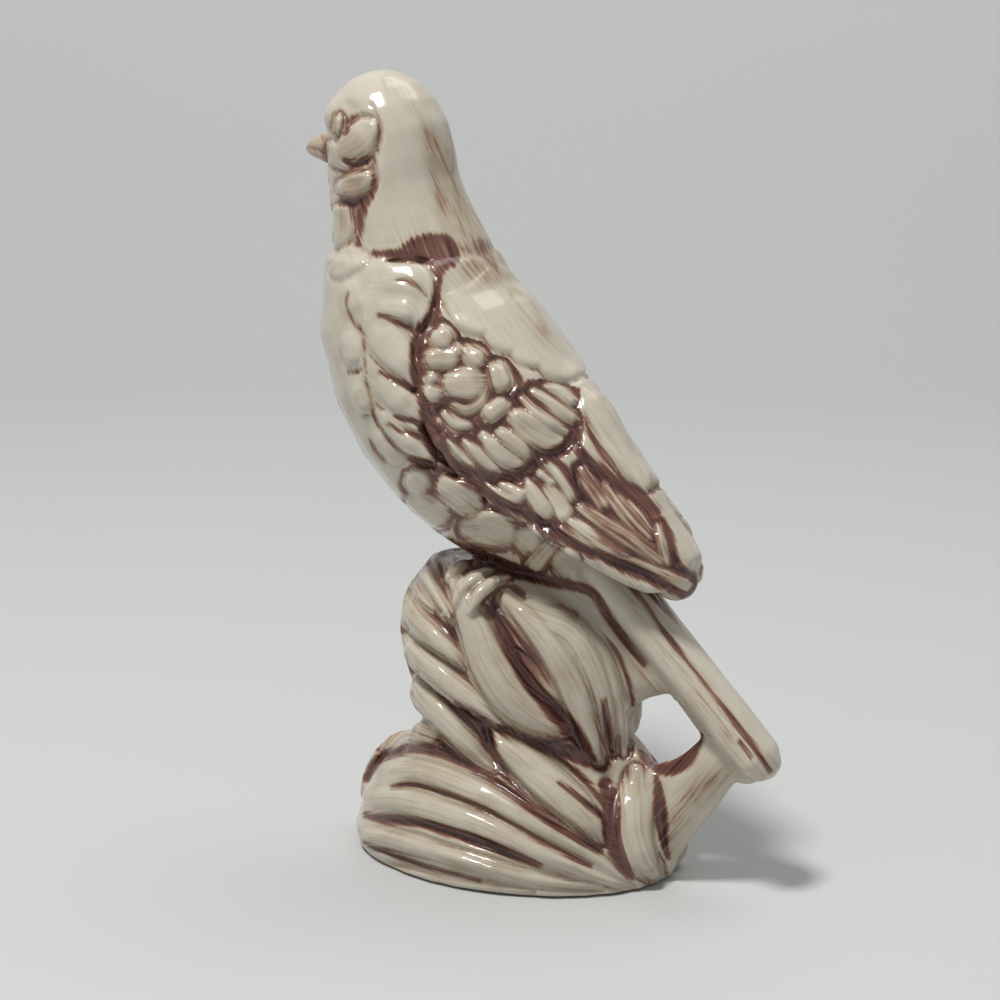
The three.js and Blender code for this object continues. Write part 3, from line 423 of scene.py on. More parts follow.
ORIGIN = (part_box("base_mound")[0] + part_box("base_mound")[1]) / 2
ORIGIN.z = 0
GRID_START = np.floor((np.array(cad_low - ORIGIN) / MM - BAND) / VOXEL).astype(int)
GRID_END = np.ceil((np.array(cad_high - ORIGIN) / MM + BAND) / VOXEL).astype(int)
GRID_SHAPE = tuple(GRID_END - GRID_START + 1)
NODE_NAMES = sorted(frame["nodes"])
BEAK_NODES = ["upper_beak", "lower_beak"]


def group_of(name):
    if name == "tail":
        return "tail"
    if any(word in name for word in ("head", "eye", "cheek", "beak")):
        return "head"
    if "wing" in name or name == "mantle":
        return "wing"
    if name == "torso":
        return "torso"
    if name == "tail_strut":
        return "strut"
    if "base" in name or "upright" in name:
        return "base"
    return "stump"


NODE_GROUPS = np.array([group_of(name) for name in NODE_NAMES])


def solid_of(name):
    """Vertices in millimetres and triangles of a CAD node."""
    mesh = frame["nodes"][name].data
    mesh.calc_loop_triangles()
    points = np.empty(len(mesh.vertices) * 3, np.float32)
    mesh.vertices.foreach_get("co", points)
    triangles = np.empty(len(mesh.loop_triangles) * 3, np.int32)
    mesh.loop_triangles.foreach_get("vertices", triangles)
    points = (points.reshape(-1, 3) - np.array(ORIGIN, np.float32)) / MM
    return points, triangles.reshape(-1, 3)


def window_at(low, shape):
    """Slices of the shared grid from a whole grid point on."""
    return tuple(slice(start, start + count) for start, count in zip(low - GRID_START, shape))


def distance_block(points, triangles):
    """Signed distance round a solid on the shared grid: its slices, and the values in millimetres."""
    reach = math.ceil(BAND / VOXEL)
    low = np.maximum(np.floor(points.min(0) / VOXEL).astype(int) - reach, GRID_START)
    high = np.minimum(np.ceil(points.max(0) / VOXEL).astype(int) + reach, GRID_END)
    grid = openvdb.FloatGrid.createLevelSetFromPolygons(
        points / VOXEL, triangles=triangles.astype(np.uint32), halfWidth=float(reach)
    )
    block = np.empty(tuple(high - low + 1), np.float32)
    grid.copyToArray(block, ijk=tuple(int(i) for i in low))
    return window_at(low, block.shape), block * VOXEL


def smooth_union(a, b, blend):
    share = np.clip(0.5 + 0.5 * (b - a) / blend, 0, 1)
    joined = b + (a - b) * share - blend * share * (1 - share)
    return np.where(np.maximum(a, b) > BLENDED_BAND, np.minimum(a, b), joined)


def blur(field, sigma):
    """Gaussian blur with sigma in millimetres."""
    radius = max(1, math.ceil(BLUR_SIGMAS * sigma / VOXEL))
    taps = np.exp(-0.5 * (np.arange(-radius, radius + 1) * VOXEL / sigma) ** 2)
    taps = (taps / taps.sum()).astype(np.float32)
    for axis in range(3):
        pads = [(radius, radius) if i == axis else (0, 0) for i in range(3)]
        padded = np.pad(field, pads, mode="edge")
        length = field.shape[axis]
        field = np.zeros_like(field)
        for tap, weight in enumerate(taps):
            window = [slice(None)] * 3
            window[axis] = slice(tap, tap + length)
            field += weight * padded[tuple(window)]
    return field


nearest = np.full(GRID_SHAPE, 2 * BAND, np.float32)
owner = np.zeros(GRID_SHAPE, np.int16)


def joined(names, softness):
    """One soft volume of several solids, the mantle last, as it blends into the others more widely. It also
    notes which solid each grid point is nearest to."""
    field = np.full(GRID_SHAPE, BAND, np.float32)
    for name in sorted(names, key=lambda name: name == "mantle"):
        window, block = distance_block(*solid_of(name))
        blend = MANTLE_BLEND if name == "mantle" else SEAM_BLEND
        field[window] = smooth_union(field[window], block, blend)
        closer = block < nearest[window]
        nearest[window][closer] = block[closer]
        owner[window][closer] = NODE_NAMES.index(name)
    return np.minimum(blur(field, softness), field + MOST_SOFTENED)


leafy_nodes = [name for name in NODE_NAMES if group_of(name) in ("stump", "base", "strut")]
bird_nodes = [name for name in NODE_NAMES if name not in leafy_nodes and name not in BEAK_NODES]
clay = smooth_union(joined(bird_nodes, CLAY_SOFTNESS), joined(leafy_nodes, LEAF_SOFTNESS), SEAM_BLEND)
clay = smooth_union(clay, joined(BEAK_NODES, GLAZE_SOFTNESS), SEAM_BLEND)
del nearest


def fillet(line):
    """Slices of the shared grid, and the signed distance there to a round-sided sweep through the points."""
    line = np.array(line, float)
    reach = line[:, 3].max() + BAND
    low = np.maximum(((line[:, :3].min(0) - reach) / VOXEL).astype(int), GRID_START)
    high = np.minimum(((line[:, :3].max(0) + reach) / VOXEL).astype(int), GRID_END)
    axes = [np.arange(a, b + 1) * VOXEL for a, b in zip(low, high)]
    place = np.stack(np.meshgrid(*axes, indexing="ij"), axis=-1)
    distance = np.full(place.shape[:3], BAND)
    for a, b in zip(line, line[1:]):
        d = b - a
        t = np.clip(((place - a[:3]) @ d[:3]) / (d[:3] @ d[:3]), 0, 1)
        away = np.linalg.norm(place - a[:3] - t[..., None] * d[:3], axis=-1)
        distance = np.minimum(distance, away - a[3] - d[3] * t)
    return window_at(low, distance.shape), distance.astype(np.float32)


mirrored = [np.array(line) * (1, side, 1, 1) for line in SIDE_FILLETS.values() for side in (1, -1)]
for line in [*FILLETS.values(), *mirrored]:
    window, distance = fillet(line)
    clay[window] = smooth_union(clay[window], distance, FILLET_BLEND)
clay = np.minimum(clay, blur(clay, CREVICE_WIDTH) + CREVICE_LEVEL)


def at(field, points):
    """Trilinear sample of a grid at points in grid steps."""
    low = np.clip(np.floor(points).astype(int), 0, np.array(field.shape) - 2)
    t = np.clip(points - low, 0, 1).astype(np.float32)
    i, j, k = low.T
    x, y, z = t.T
    c00 = field[i, j, k] * (1 - x) + field[i + 1, j, k] * x
    c10 = field[i, j + 1, k] * (1 - x) + field[i + 1, j + 1, k] * x
    c01 = field[i, j, k + 1] * (1 - x) + field[i + 1, j, k + 1] * x
    c11 = field[i, j + 1, k + 1] * (1 - x) + field[i + 1, j + 1, k + 1] * x
    return (c00 * (1 - y) + c10 * y) * (1 - z) + (c01 * (1 - y) + c11 * y) * z


def steepest(field, index):
    """Unit gradient of a grid at whole grid points."""
    i, j, k = index.T
    gradient = np.stack([field[i + 1, j, k] - field[i - 1, j, k],
                         field[i, j + 1, k] - field[i, j - 1, k],
                         field[i, j, k + 1] - field[i, j, k - 1]], axis=1)
    return gradient / np.maximum(np.linalg.norm(gradient, axis=1, keepdims=True), 1e-6)


# Drawing

AZIMUTH, PITCH = math.radians(CAMERA_AZIMUTH), math.radians(CAMERA_PITCH)
FORWARD = np.array([-math.sin(AZIMUTH) * math.cos(PITCH), math.cos(AZIMUTH) * math.cos(PITCH),
                    -math.sin(PITCH)])
RIGHT = np.array([math.cos(AZIMUTH), math.sin(AZIMUTH), 0.0])
UP = np.cross(RIGHT, FORWARD)
TO_BASE = (FORWARD * FOCAL_LENGTH + RIGHT * (BASE_SEEN_AT[0] - PHOTO_SIZE / 2)
           - UP * (BASE_SEEN_AT[1] - PHOTO_SIZE / 2))
EYE = -TO_BASE / np.linalg.norm(TO_BASE) * CAMERA_RANGE

# The way that brush streaks run where no form is drawn, as (right, down) in the photograph
STREAK_WAYS = {
    "head": (0.38, 0.92), "torso": (0.30, 0.95), "wing": (0.62, 0.78),
    "tail": (0.64, 0.77), "stump": (0.60, 0.80), "base": (0.92, 0.39), "strut": (0.66, -0.75),
}


def steady(x, low=0, high=1):
    """Smooth step from 0 to 1 between two levels."""
    x = np.clip((x - low) / (high - low), 0, 1)
    return x * x * (3 - 2 * x)


def spline(line, per_span=4):
    """Points along a smooth line through the given ones."""
    p = np.array(line, float)
    if len(p) == 1:
        return p
    padded = np.vstack([2 * p[0] - p[1], p, 2 * p[-1] - p[-2]])
    made = []
    for a, b, c, d in zip(padded, padded[1:], padded[2:], padded[3:]):
        for t in np.linspace(0, 1, per_span, endpoint=False):
            made.append(0.5 * (2 * b + (c - a) * t + (2 * a - 5 * b + 4 * c - d) * t * t
                               + (3 * b - 3 * c + d - a) * t ** 3))
    made.append(p[-1])
    return np.array(made)


class Sheet:
    """Points of the surface laid flat for drawing: u and v in pixels, and how much each point takes."""

    TILE = 16
    TILE_ROW = 4096

    def __init__(self, u, v, fade, stain_fade, owners, ways):
        self.u, self.v = u.astype(np.float32), v.astype(np.float32)
        self.fade = fade.astype(np.float32)
        self.stain_fade = stain_fade.astype(np.float32)
        self.groups = NODE_GROUPS[owners]
        open_points = np.nonzero(stain_fade > 0)[0]
        key = ((self.u[open_points] // self.TILE).astype(int) * self.TILE_ROW
               + (self.v[open_points] // self.TILE).astype(int))
        order = np.argsort(key, kind="stable")
        self.sorted = open_points[order]
        key = key[order]
        starts = np.nonzero(np.diff(key, prepend=key[0] - 1 if len(key) else 0))[0]
        self.tiles = {int(key[s]): (s, e) for s, e in zip(starts, [*starts[1:], len(key)])}
        self.height = np.full(len(u), -UNREACHED, np.float32)
        self.gap = np.full(len(u), UNREACHED, np.float32)
        self.margin, self.cut, self.groove = np.zeros((3, len(u)), np.float32)
        self.ink, self.reach, self.wash, self.tint = np.zeros((4, len(u)), np.float32)
        way = np.array([ways[g] for g in sorted(ways)])[np.searchsorted(sorted(ways), self.groups)]
        self.across = self.u * way[:, 1] - self.v * way[:, 0]
        self.along = self.u * way[:, 0] + self.v * way[:, 1]

    def near(self, line, margin, on):
        """Points near a stroke, on the given groups of nodes."""
        low = (line[:, :2] - line[:, 2:] / 2 - margin).min(0) // self.TILE
        high = (line[:, :2] + line[:, 2:] / 2 + margin).max(0) // self.TILE
        found = [np.zeros(0, int)]
        for i in range(int(low[0]), int(high[0]) + 1):
            for j in range(int(low[1]), int(high[1]) + 1):
                span = self.tiles.get(i * self.TILE_ROW + j)
                if span:
                    found.append(self.sorted[span[0]:span[1]])
        found = np.concatenate(found)
        return found[np.isin(self.groups[found], on)] if on else found

    def inside(self, index, line):
        """Each point's depth inside a stroke, its place along and across it, and the stroke's length."""
        u, v = self.u[index], self.v[index]
        if len(line) == 1:
            line = np.vstack([line, line + (DOT_LENGTH, DOT_LENGTH, 0)])
        best = np.full(len(index), -np.inf, np.float32)
        along, across = np.zeros((2, len(index)), np.float32)
        reached = 0.0
        for a, b in zip(line, line[1:]):
            d = b - a
            length = max(math.hypot(d[0], d[1]), 1e-6)
            t = np.clip(((u - a[0]) * d[0] + (v - a[1]) * d[1]) / length ** 2, 0, 1)
            depth = (a[2] + d[2] * t) / 2 - np.hypot(u - a[0] - d[0] * t, v - a[1] - d[1] * t)
            better = depth > best
            best[better] = depth[better]
            along[better] = (reached + t * length)[better]
            across[better] = (((u - a[0]) * d[1] - (v - a[1]) * d[0]) / length)[better]
            reached += length
        return best, along, across, reached

    def strokes(self, forms, margin, on=None, growth=0.0):
        """Each smoothed stroke that has points near it, those points, and where they lie in it."""
        for line in forms.values():
            line = spline(line)
            line[:, 2] += growth
            index = self.near(line, margin, on)
            if len(index):
                yield line, index, self.inside(index, line)

    def raise_forms(self, forms, height, edge, rounding, lift=0.0, margin=7.0, ink=1.0, reach=4.0,
                    wash=0.1, root=0.0, combed=True, on=None):
        """Raised forms with a ditch round each. In millimetres: height of the top, edge down to the ditch,
        and lift of the tip. In pixels: rounding of the side, margin of the ditch, and reach of the stain.
        Ink is how dark it gets, root the share of the length over which a form grows out of the surface,
        and combed says that the streaks run along the form."""
        for line, index, within in self.strokes(forms, max(margin, reach), on, 2 * FORM_GROWTH):
            depth, along, across, length = within
            freed = steady(along / (root * length)) if root else 1.0
            dome = 1 - (1 - np.clip(depth / rounding, 0, 1)) ** 2
            top = freed * (-edge + (height + edge + lift * along / max(length, 1)) * dome)
            on_form, beside = index[depth > 0], index[depth <= 0]
            self.height[on_form] = np.maximum(self.height[on_form], top[depth > 0])
            ditch = -edge * freed * np.clip(1 + depth / margin, 0, 1) ** 2
            self.margin[beside] = np.minimum(self.margin[beside], ditch[depth <= 0])
            nearer = -depth < self.gap[index]
            chosen = index[nearer]
            self.gap[chosen] = -depth[nearer]
            self.ink[chosen] = (ink * freed)[nearer] if root else ink
            self.reach[chosen] = reach
            picked = nearer & (depth > -WASH_SPREAD)
            owned = index[picked]
            self.wash[owned] = wash
            if combed:
                self.along[owned] = along[picked] + line[0, 0] * STREAK_SHIFT[0]
                self.across[owned] = across[picked] + line[0, 1] * STREAK_SHIFT[1]

    def cut_lines(self, lines, depth, strength, on=None):
        """Stained grooves. Depth is in millimetres."""
        for line, index, (inside, *_) in self.strokes(lines, STAIN_SOFTNESS, on):
            half = max(line[:, 2].max() / 2, NARROWEST_CUT)
            bowl = 1 - (1 - np.clip((inside + CUT_SPREAD) / half, 0, 1)) ** 2
            self.cut[index] = np.minimum(self.cut[index], -depth * bowl)
            stain_and_shade = np.clip(0.5 + (inside + CUT_STAIN_SPREAD) / STAIN_SOFTNESS, 0, 1)
            self.groove[index] = np.maximum(self.groove[index], strength * stain_and_shade)

    def brush(self, lines, strength, softness, tint):
        """Areas where the streaks of the wash show, and how much it tints them all over."""
        for _, index, (depth, *_) in self.strokes(lines, BRUSH_MARGIN):
            share = steady(depth / softness)
            self.wash[index] = np.maximum(self.wash[index], strength * share)
            self.tint[index] = np.maximum(self.tint[index], tint * share)

    def relief(self):
        """How far each point is raised, in millimetres."""
        covered = self.height > -UNREACHED
        raised = np.where(covered, self.height, self.margin)
        return self.fade * np.maximum(raised + np.where(covered, CUT_ON_FORM, 1.0) * self.cut, -DEEPEST_CUT)

    def stain_and_shade(self):
        """How darkly each point is stained, from 0 to 1."""
        gap = 0.5 + (self.gap + DITCH_STAIN_SPREAD) / STAIN_SOFTNESS
        limit = 0.5 + (self.reach - self.gap) / STAIN_SOFTNESS
        pooled = self.ink * np.clip(np.minimum(gap, limit), 0, 1)
        shade = self.ink * EDGE_SHADE[0] * np.exp(np.minimum(self.gap, 0) / EDGE_SHADE[1])
        shade = np.where(self.gap > self.reach, 0, shade)
        return self.stain_fade * np.maximum(np.maximum(pooled, shade), self.groove)


def seen_by_photograph(points, normals, owners):
    """The surface as the photograph's camera sees it, with the right-hand side folded over to the left."""
    mirror = np.where(points[:, 1:2] > 0, (1, -1, 1), (1, 1, 1))
    seen = points * mirror - EYE
    depth = seen @ FORWARD
    u = PHOTO_SIZE / 2 + FOCAL_LENGTH * (seen @ RIGHT) / depth
    v = PHOTO_SIZE / 2 - FOCAL_LENGTH * (seen @ UP) / depth
    facing = -(normals * mirror * seen).sum(1) / np.linalg.norm(seen, axis=1)
    low, high = np.where(NODE_GROUPS[owners] == "head", *np.array((HEAD_GRAZING, GRAZING))[..., None])
    return Sheet(u, v, steady(facing, low, high), steady(facing, *STAIN_GRAZING), owners, STREAK_WAYS)


def seen_from_front(points, normals, owners, hidden):
    """The surface seen from the front, where the photograph hides it."""
    fade = steady((-normals[:, 0] - FRONT_GRAZING) / FRONT_STEP) * hidden
    ways = dict.fromkeys(STREAK_WAYS, (0.0, 1.0))
    across, down = np.abs(points[:, 1]) * PIXELS_PER_MM, -points[:, 2] * PIXELS_PER_MM
    return Sheet(across, down, fade, fade, owners, ways)


def in_pixels(forms):
    """Front forms in the sheet's pixels."""
    scale = np.array((1, -1, 1)) * PIXELS_PER_MM
    return {name: [tuple(np.array(point) * scale) for point in line] for name, line in forms.items()}


def breast_scales():
    """Rows of soft scales down the middle of the breast."""
    made = {}
    for row, z in enumerate(np.arange(*BREAST_HEIGHTS, -BREAST_ROW)):
        first = BREAST_SCALE / 2 * (row % 2)
        for column, y in enumerate(np.arange(first, BREAST_HALF_WIDTH, BREAST_SCALE)):
            made[f"scale_{row}_{column}"] = [(y, z + SCALE_RISE, SCALE_WIDTHS[0]),
                                             (y, z - SCALE_RISE, SCALE_WIDTHS[1])]
    return made


def draw_photographed(sheet):
    """What the photograph shows. The numbers of a raised form are its height, edge and rounding, those of
    lines their depth and strength, and those of brushed areas their strength and softness."""
    sheet.raise_forms(HEAD_FORMS, 0.8, 0.7, 6, ink=0.55, reach=2.5, wash=0.15, on=("head", "torso"))
    sheet.cut_lines(HEAD_CREASES, 0.5, 0.5, on=("head",))
    sheet.cut_lines(BEAK_LINES, 0.25, 0.35, on=("head",))
    sheet.cut_lines(HEAD_GROOVES, 0.7, 0.8, on=("head", "torso"))
    sheet.raise_forms(MANTLE_FORMS, 0.5, 0.6, 8, margin=5, ink=0.5, reach=2.5, wash=0.2, root=0.4,
                      combed=False, on=("wing",))
    sheet.raise_forms(CHEST_FORMS, 0.6, 0.4, 7, margin=4, ink=0.25, reach=2, wash=0.15, combed=False)
    sheet.raise_forms(SHOULDER_FORMS, 0.5, 0.8, 9, lift=0.3, ink=0.8, reach=3, wash=0.15, root=0.6)
    sheet.raise_forms(BREAST_FORMS, 0.15, 0.15, 5, margin=3, ink=0.2, reach=2, root=0.3)
    sheet.raise_forms(ROUND_COVERTS, 0.3, 1.2, 8, reach=9)
    sheet.raise_forms(LONG_COVERTS, 0.3, 1.2, 6, lift=0.3, reach=9, wash=0.3)
    sheet.raise_forms(SECONDARIES, 0.4, 0.9, 5, lift=0.3, reach=8, wash=0.4)
    sheet.raise_forms(PRIMARIES, 0.4, 0.8, 5, lift=0.3, reach=7, wash=0.9, on=("wing",))
    sheet.raise_forms(TERTIALS, 0.35, 0.9, 8, reach=4, wash=0.3, root=0.25, on=("wing",))
    sheet.raise_forms(FLANK_FORMS, 0.6, 0.8, 8, ink=0.9, reach=4, wash=0.3, on=("torso", "wing"))
    sheet.cut_lines(NECK_GROOVES, 0.3, 0.85)
    sheet.cut_lines(WING_GROOVES, 0.6, 0.9)
    sheet.cut_lines(BODY_GROOVES, 0.9, 0.95)
    sheet.cut_lines(BREAST_GROOVES, 0.4, 0.55, on=("torso", "wing"))
    sheet.raise_forms(STUMP_LEAVES, 0.6, 1.3, 11, reach=6, wash=0.45, on=("stump", "base"))
    sheet.raise_forms(STUMP_STRANDS, 0.6, 1.1, 11, reach=4, wash=0.55, root=0.3, on=("stump", "base"))
    sheet.raise_forms(TOES, 1.7, 0.3, 6, ink=0.9, reach=3, wash=0.2, on=("stump",))
    sheet.raise_forms(BASE_LEAVES, 0.3, 1.2, 10, ink=0.7, reach=3, wash=0.5, on=("stump", "base"))
    sheet.raise_forms(BASE_STRANDS, 0.3, 1.0, 10, ink=0.35, reach=3, wash=0.45, root=0.25,
                      on=("stump", "base"))
    sheet.cut_lines(LEAF_GROOVES, 0.9, 0.95, on=("stump", "base", "strut"))
    sheet.cut_lines(TAIL_GROOVES, 0.6, 0.85, on=("tail",))
    sheet.brush(BRUSHED, 0.8, 14, tint=0.05)
    sheet.brush(STREAKED, 1.0, 18, tint=0.14)
    sheet.brush(DEEPLY_STREAKED, 1.0, 12, tint=0.24)
    sheet.brush(DARKENED_AREAS, 0.4, 16, tint=0.08)
    sheet.brush(FLESHY, 0.5, 14, tint=0.18)


def draw_front(sheet):
    """The guessed relief of the front."""
    sheet.raise_forms(in_pixels(FRONT_FACE), 0.6, 0.5, 6, ink=0.6, reach=3, on=("head",))
    sheet.raise_forms(in_pixels(breast_scales()), 0.3, 0.3, 12, ink=0.3, reach=2, on=("torso",))
    sheet.raise_forms(in_pixels(FRONT_STUMP), 0.6, 1.3, 11, reach=9, wash=0.35, on=("stump",))
    sheet.raise_forms(in_pixels(FRONT_BASE), 0.3, 1.2, 10, ink=0.9, reach=5, wash=0.35, on=("base",))


def drawn(points, normals, owners):
    photographed = seen_by_photograph(points, normals, owners)
    front = seen_from_front(points, normals, owners, 1 - photographed.stain_fade)
    draw_photographed(photographed)
    draw_front(front)
    return photographed, front


band = np.argwhere(np.abs(clay[1:-1, 1:-1, 1:-1]) < RELIEF_REACH) + 1
band_normals = steepest(clay, band)
band_corners = band - band_normals * clay[tuple(band.T)][:, None] / VOXEL
# No cut goes through a thin wall
room = np.maximum(-at(clay, band_corners - band_normals * DEEPEST_CUT / VOXEL), 0)
sheets = drawn((band_corners + GRID_START) * VOXEL, band_normals, owner[tuple(band.T)])
clay[tuple(band.T)] -= np.maximum(sum(sheet.relief() for sheet in sheets), -room)
del band, band_normals, band_corners, room, sheets
clay = blur(clay, GLAZE_SOFTNESS)
for width, level in POOLS:
    clay = np.minimum(clay, blur(clay, width) + level)

# The glaze stays inside the CAD model's box
for axis in range(3):
    place = (np.arange(GRID_SHAPE[axis]) + GRID_START[axis]) * VOXEL
    low, high = (cad_low[axis] - ORIGIN[axis]) / MM, (cad_high[axis] - ORIGIN[axis]) / MM
    outside = np.maximum(low - place, place - high) + BOX_CLEARANCE
    shape = [1, 1, 1]
    shape[axis] = -1
    np.maximum(clay, outside.reshape(shape).astype(np.float32), out=clay)

grid = openvdb.FloatGrid(BAND)
grid.copyFromArray(np.clip(clay, -BAND, BAND))
corners, quads = grid.convertToQuads(isovalue=0.0)
corners = np.asarray(corners, np.float32)
quads = np.asarray(quads, np.int64)[:, ::-1]


def vertex_normals(points, faces):
    across = points[faces[:, 2]] - points[faces[:, 0]]
    down = points[faces[:, 3]] - points[faces[:, 1]]
    normals = np.cross(across, down)
    total = np.zeros_like(points)
    for axis in range(3):
        for corner in range(4):
            total[:, axis] += np.bincount(faces[:, corner], normals[:, axis], len(points))
    return total / np.maximum(np.linalg.norm(total, axis=1, keepdims=True), 1e-9)


surface = (corners + GRID_START) * VOXEL
normals = vertex_normals(surface, quads)
half_step = normals * 0.5
outward = at(clay, corners + half_step) - at(clay, corners - half_step)
if np.median(outward) < 0:
    quads = quads[:, ::-1]
    normals = -normals
owners = owner[tuple(np.clip(np.rint(corners).astype(int), 0, np.array(GRID_SHAPE) - 1).T)]

# Stain with painted shade in the deepest hollows, wash and the way of the streaks on each vertex
photographed, front = drawn(surface, normals, owners)
hollowness = -at(blur(clay, CREASE_SIZE), corners)


def hollow_stain_and_shade(most, start, span):
    """Stain that grows with the hollowness, up to the most. Used for the deepest hollows it paints shade as
    well as deeper stain.
    """
    return most * steady((hollowness - start) / span)


stain_and_shade = np.maximum(photographed.stain_and_shade(), front.stain_and_shade())
stain_and_shade = np.maximum(DRAWN_STAIN * stain_and_shade, hollow_stain_and_shade(*HOLLOW_STAIN))
# Painted shade and deeper stain in the deepest hollows, and less stain on the ridges
stain_and_shade += hollow_stain_and_shade(*DEEP_STAIN_AND_SHADE) - RIDGE_BARED[0] * np.clip(-hollowness / RIDGE_BARED[1], 0, 1)
beak = np.isin(owners, [NODE_NAMES.index(name) for name in BEAK_NODES])
stain_and_shade = np.clip(stain_and_shade + BEAK_STAIN * beak, 0, 1)
wash = np.maximum(photographed.wash * photographed.stain_fade, front.wash * front.stain_fade)
tint = np.maximum(photographed.tint * photographed.stain_fade, front.tint * front.stain_fade)
in_front = front.stain_fade > photographed.stain_fade
flow = np.stack([np.where(in_front, front.across, photographed.across) / PIXELS_PER_MM,
                 np.where(in_front, front.along, photographed.along) / PIXELS_PER_MM,
                 wash * 0], axis=1)


# Pieces

# The wall is thinner where the clay is thin, so that its inside never shows
wall = np.full(len(surface), SHELL, np.float32)
for _ in range(WALL_ROUNDS):
    depth = -at(clay, corners - normals * wall[:, None] / VOXEL)
    wall[depth < WALL_SHARE * wall] *= WALL_SHARE


def placed(name, data):
    obj = bpy.data.objects.new(name, data)
    bpy.context.scene.collection.objects.link(obj)
    return obj


def shell(name, faces):
    """One closed piece: the outer faces, the same faces set in by the wall, and the rim between them."""
    used, local = np.unique(faces, return_inverse=True)
    local = local.reshape(-1, 4)
    count = len(used)
    outer = surface[used]
    inner = outer - normals[used] * wall[used][:, None]
    starts = local.ravel()
    ends = np.roll(local, -1, axis=1).ravel()
    forward = starts * count + ends
    backward = ends * count + starts
    open_edge = ~np.isin(forward, backward)
    a, b = starts[open_edge], ends[open_edge]
    rim = np.stack([b, a, a + count, b + count], axis=1)
    all_faces = np.vstack([local, local[:, ::-1] + count, rim])
    points = np.vstack([outer, inner]) * MM + np.array(ORIGIN)
    mesh = bpy.data.meshes.new(name)
    mesh.vertices.add(len(points))
    mesh.vertices.foreach_set("co", points.astype(np.float32).ravel())
    mesh.loops.add(all_faces.size)
    mesh.loops.foreach_set("vertex_index", all_faces.astype(np.int32).ravel())
    mesh.polygons.add(len(all_faces))
    mesh.polygons.foreach_set("loop_start", np.arange(0, all_faces.size, 4, dtype=np.int32))
    mesh.update(calc_edges=True)
    mesh.polygons.foreach_set("use_smooth", np.ones(len(all_faces), bool))
    mesh.normals_split_custom_set_from_vertices(np.vstack([normals[used], -normals[used]]).tolist())
    # The stain values hold the painted shade of the deepest hollows as well as the stain
    for kind, values in (("stain_and_shade", stain_and_shade), ("wash", wash), ("tint", tint), ("flow", flow)):
        sort, field = ("FLOAT", "value") if values.ndim == 1 else ("FLOAT_VECTOR", "vector")
        attribute = mesh.attributes.new(kind, sort, "POINT")
        attribute.data.foreach_set(field, np.concatenate([values[used]] * 2).astype(np.float32).ravel())
    return placed(name, mesh)


class Graph:
    """Nodes of a new material. An input is a socket, which is linked, or a value, which is set."""

    def __init__(self, name):
        self.material = bpy.data.materials.new(name)
        self.material.use_nodes = True
        self.shader = self.material.node_tree.nodes["Principled BSDF"]

    def feed(self, node, inputs):
        for key, value in inputs.items():
            if isinstance(value, bpy.types.NodeSocket):
                self.material.node_tree.links.new(value, node.inputs[key])
            else:
                node.inputs[key].default_value = value

    def add(self, kind, inputs=None, **settings):
        node = self.material.node_tree.nodes.new("ShaderNode" + kind)
        for name, value in settings.items():
            setattr(node, name, value)
        self.feed(node, inputs or {})
        return node

    def attribute(self, name, output="Fac"):
        return self.add("Attribute", attribute_name=name).outputs[output]

    def combine(self, operation, a, b):
        return self.add("Math", {0: a, 1: b}, operation=operation).outputs["Value"]

    def noise(self, vector, scale, detail):
        stretched = self.add("Mapping", {"Vector": vector, "Scale": scale}).outputs["Vector"]
        inputs = {"Vector": stretched, "Scale": 1, "Detail": detail}
        return self.add("TexNoise", inputs).outputs["Fac"]

    def step(self, value, low, high, reach=1.0):
        inputs = {"Value": value, "From Min": low, "From Max": high, "To Max": reach}
        return self.add("MapRange", inputs, interpolation_type="SMOOTHSTEP").outputs["Result"]


# Noises in the glaze: how fine each is along the three axes, and its detail
STRANDS = ((1.2, 0.075, 1), 3)
HAIRS = ((3.4, 0.13, 1), 2)
CLOUD = ((120, 120, 120), 3)
RIPPLE = ((300, 300, 300), 2)
# Smooth steps: from, to, and how much they add
STRAND_WASH = (0.42, 0.7, 0.24)
HAIR_WASH = (0.48, 0.75, 0.14)
CLOUD_DULLING = (0.3, 0.7, 0.06)
STAIN_DULLING = (0.3, 0.9, 0.08)
ROUGHNESS = 0.13
# How much the strands and the cloud move the stain's edge, and the level of each noise that moves nothing
RAGGED_EDGE, RAGGED_ELSEWHERE, STRAND_LEVEL = 4.5, 0.22, 0.5
CLOUD_DRIFT, CLOUD_LEVEL = 0.4, 0.4
COAT = {"IOR": 1.5, "Coat Weight": 0.12, "Coat Roughness": 0.06}
BUMP = {"Strength": 0.35, "Distance": 0.0003}
RIPPLE_HEIGHT, STREAK_HEIGHT = 0.5, -0.9
# Colours of the glaze from pale to fully stained; the darkest, near-black stop is painted shade in the
# deepest hollows as well as stain
SHADE_AT = 0.26
STAIN_AND_SHADE_STOPS = [
    (0.36, (0.34, 0.235, 0.16)), (0.46, (0.235, 0.125, 0.085)), (0.62, (0.155, 0.070, 0.052)),
    (0.84, (0.118, 0.050, 0.040)), (1.0, (0.045, 0.017, 0.014)),
]


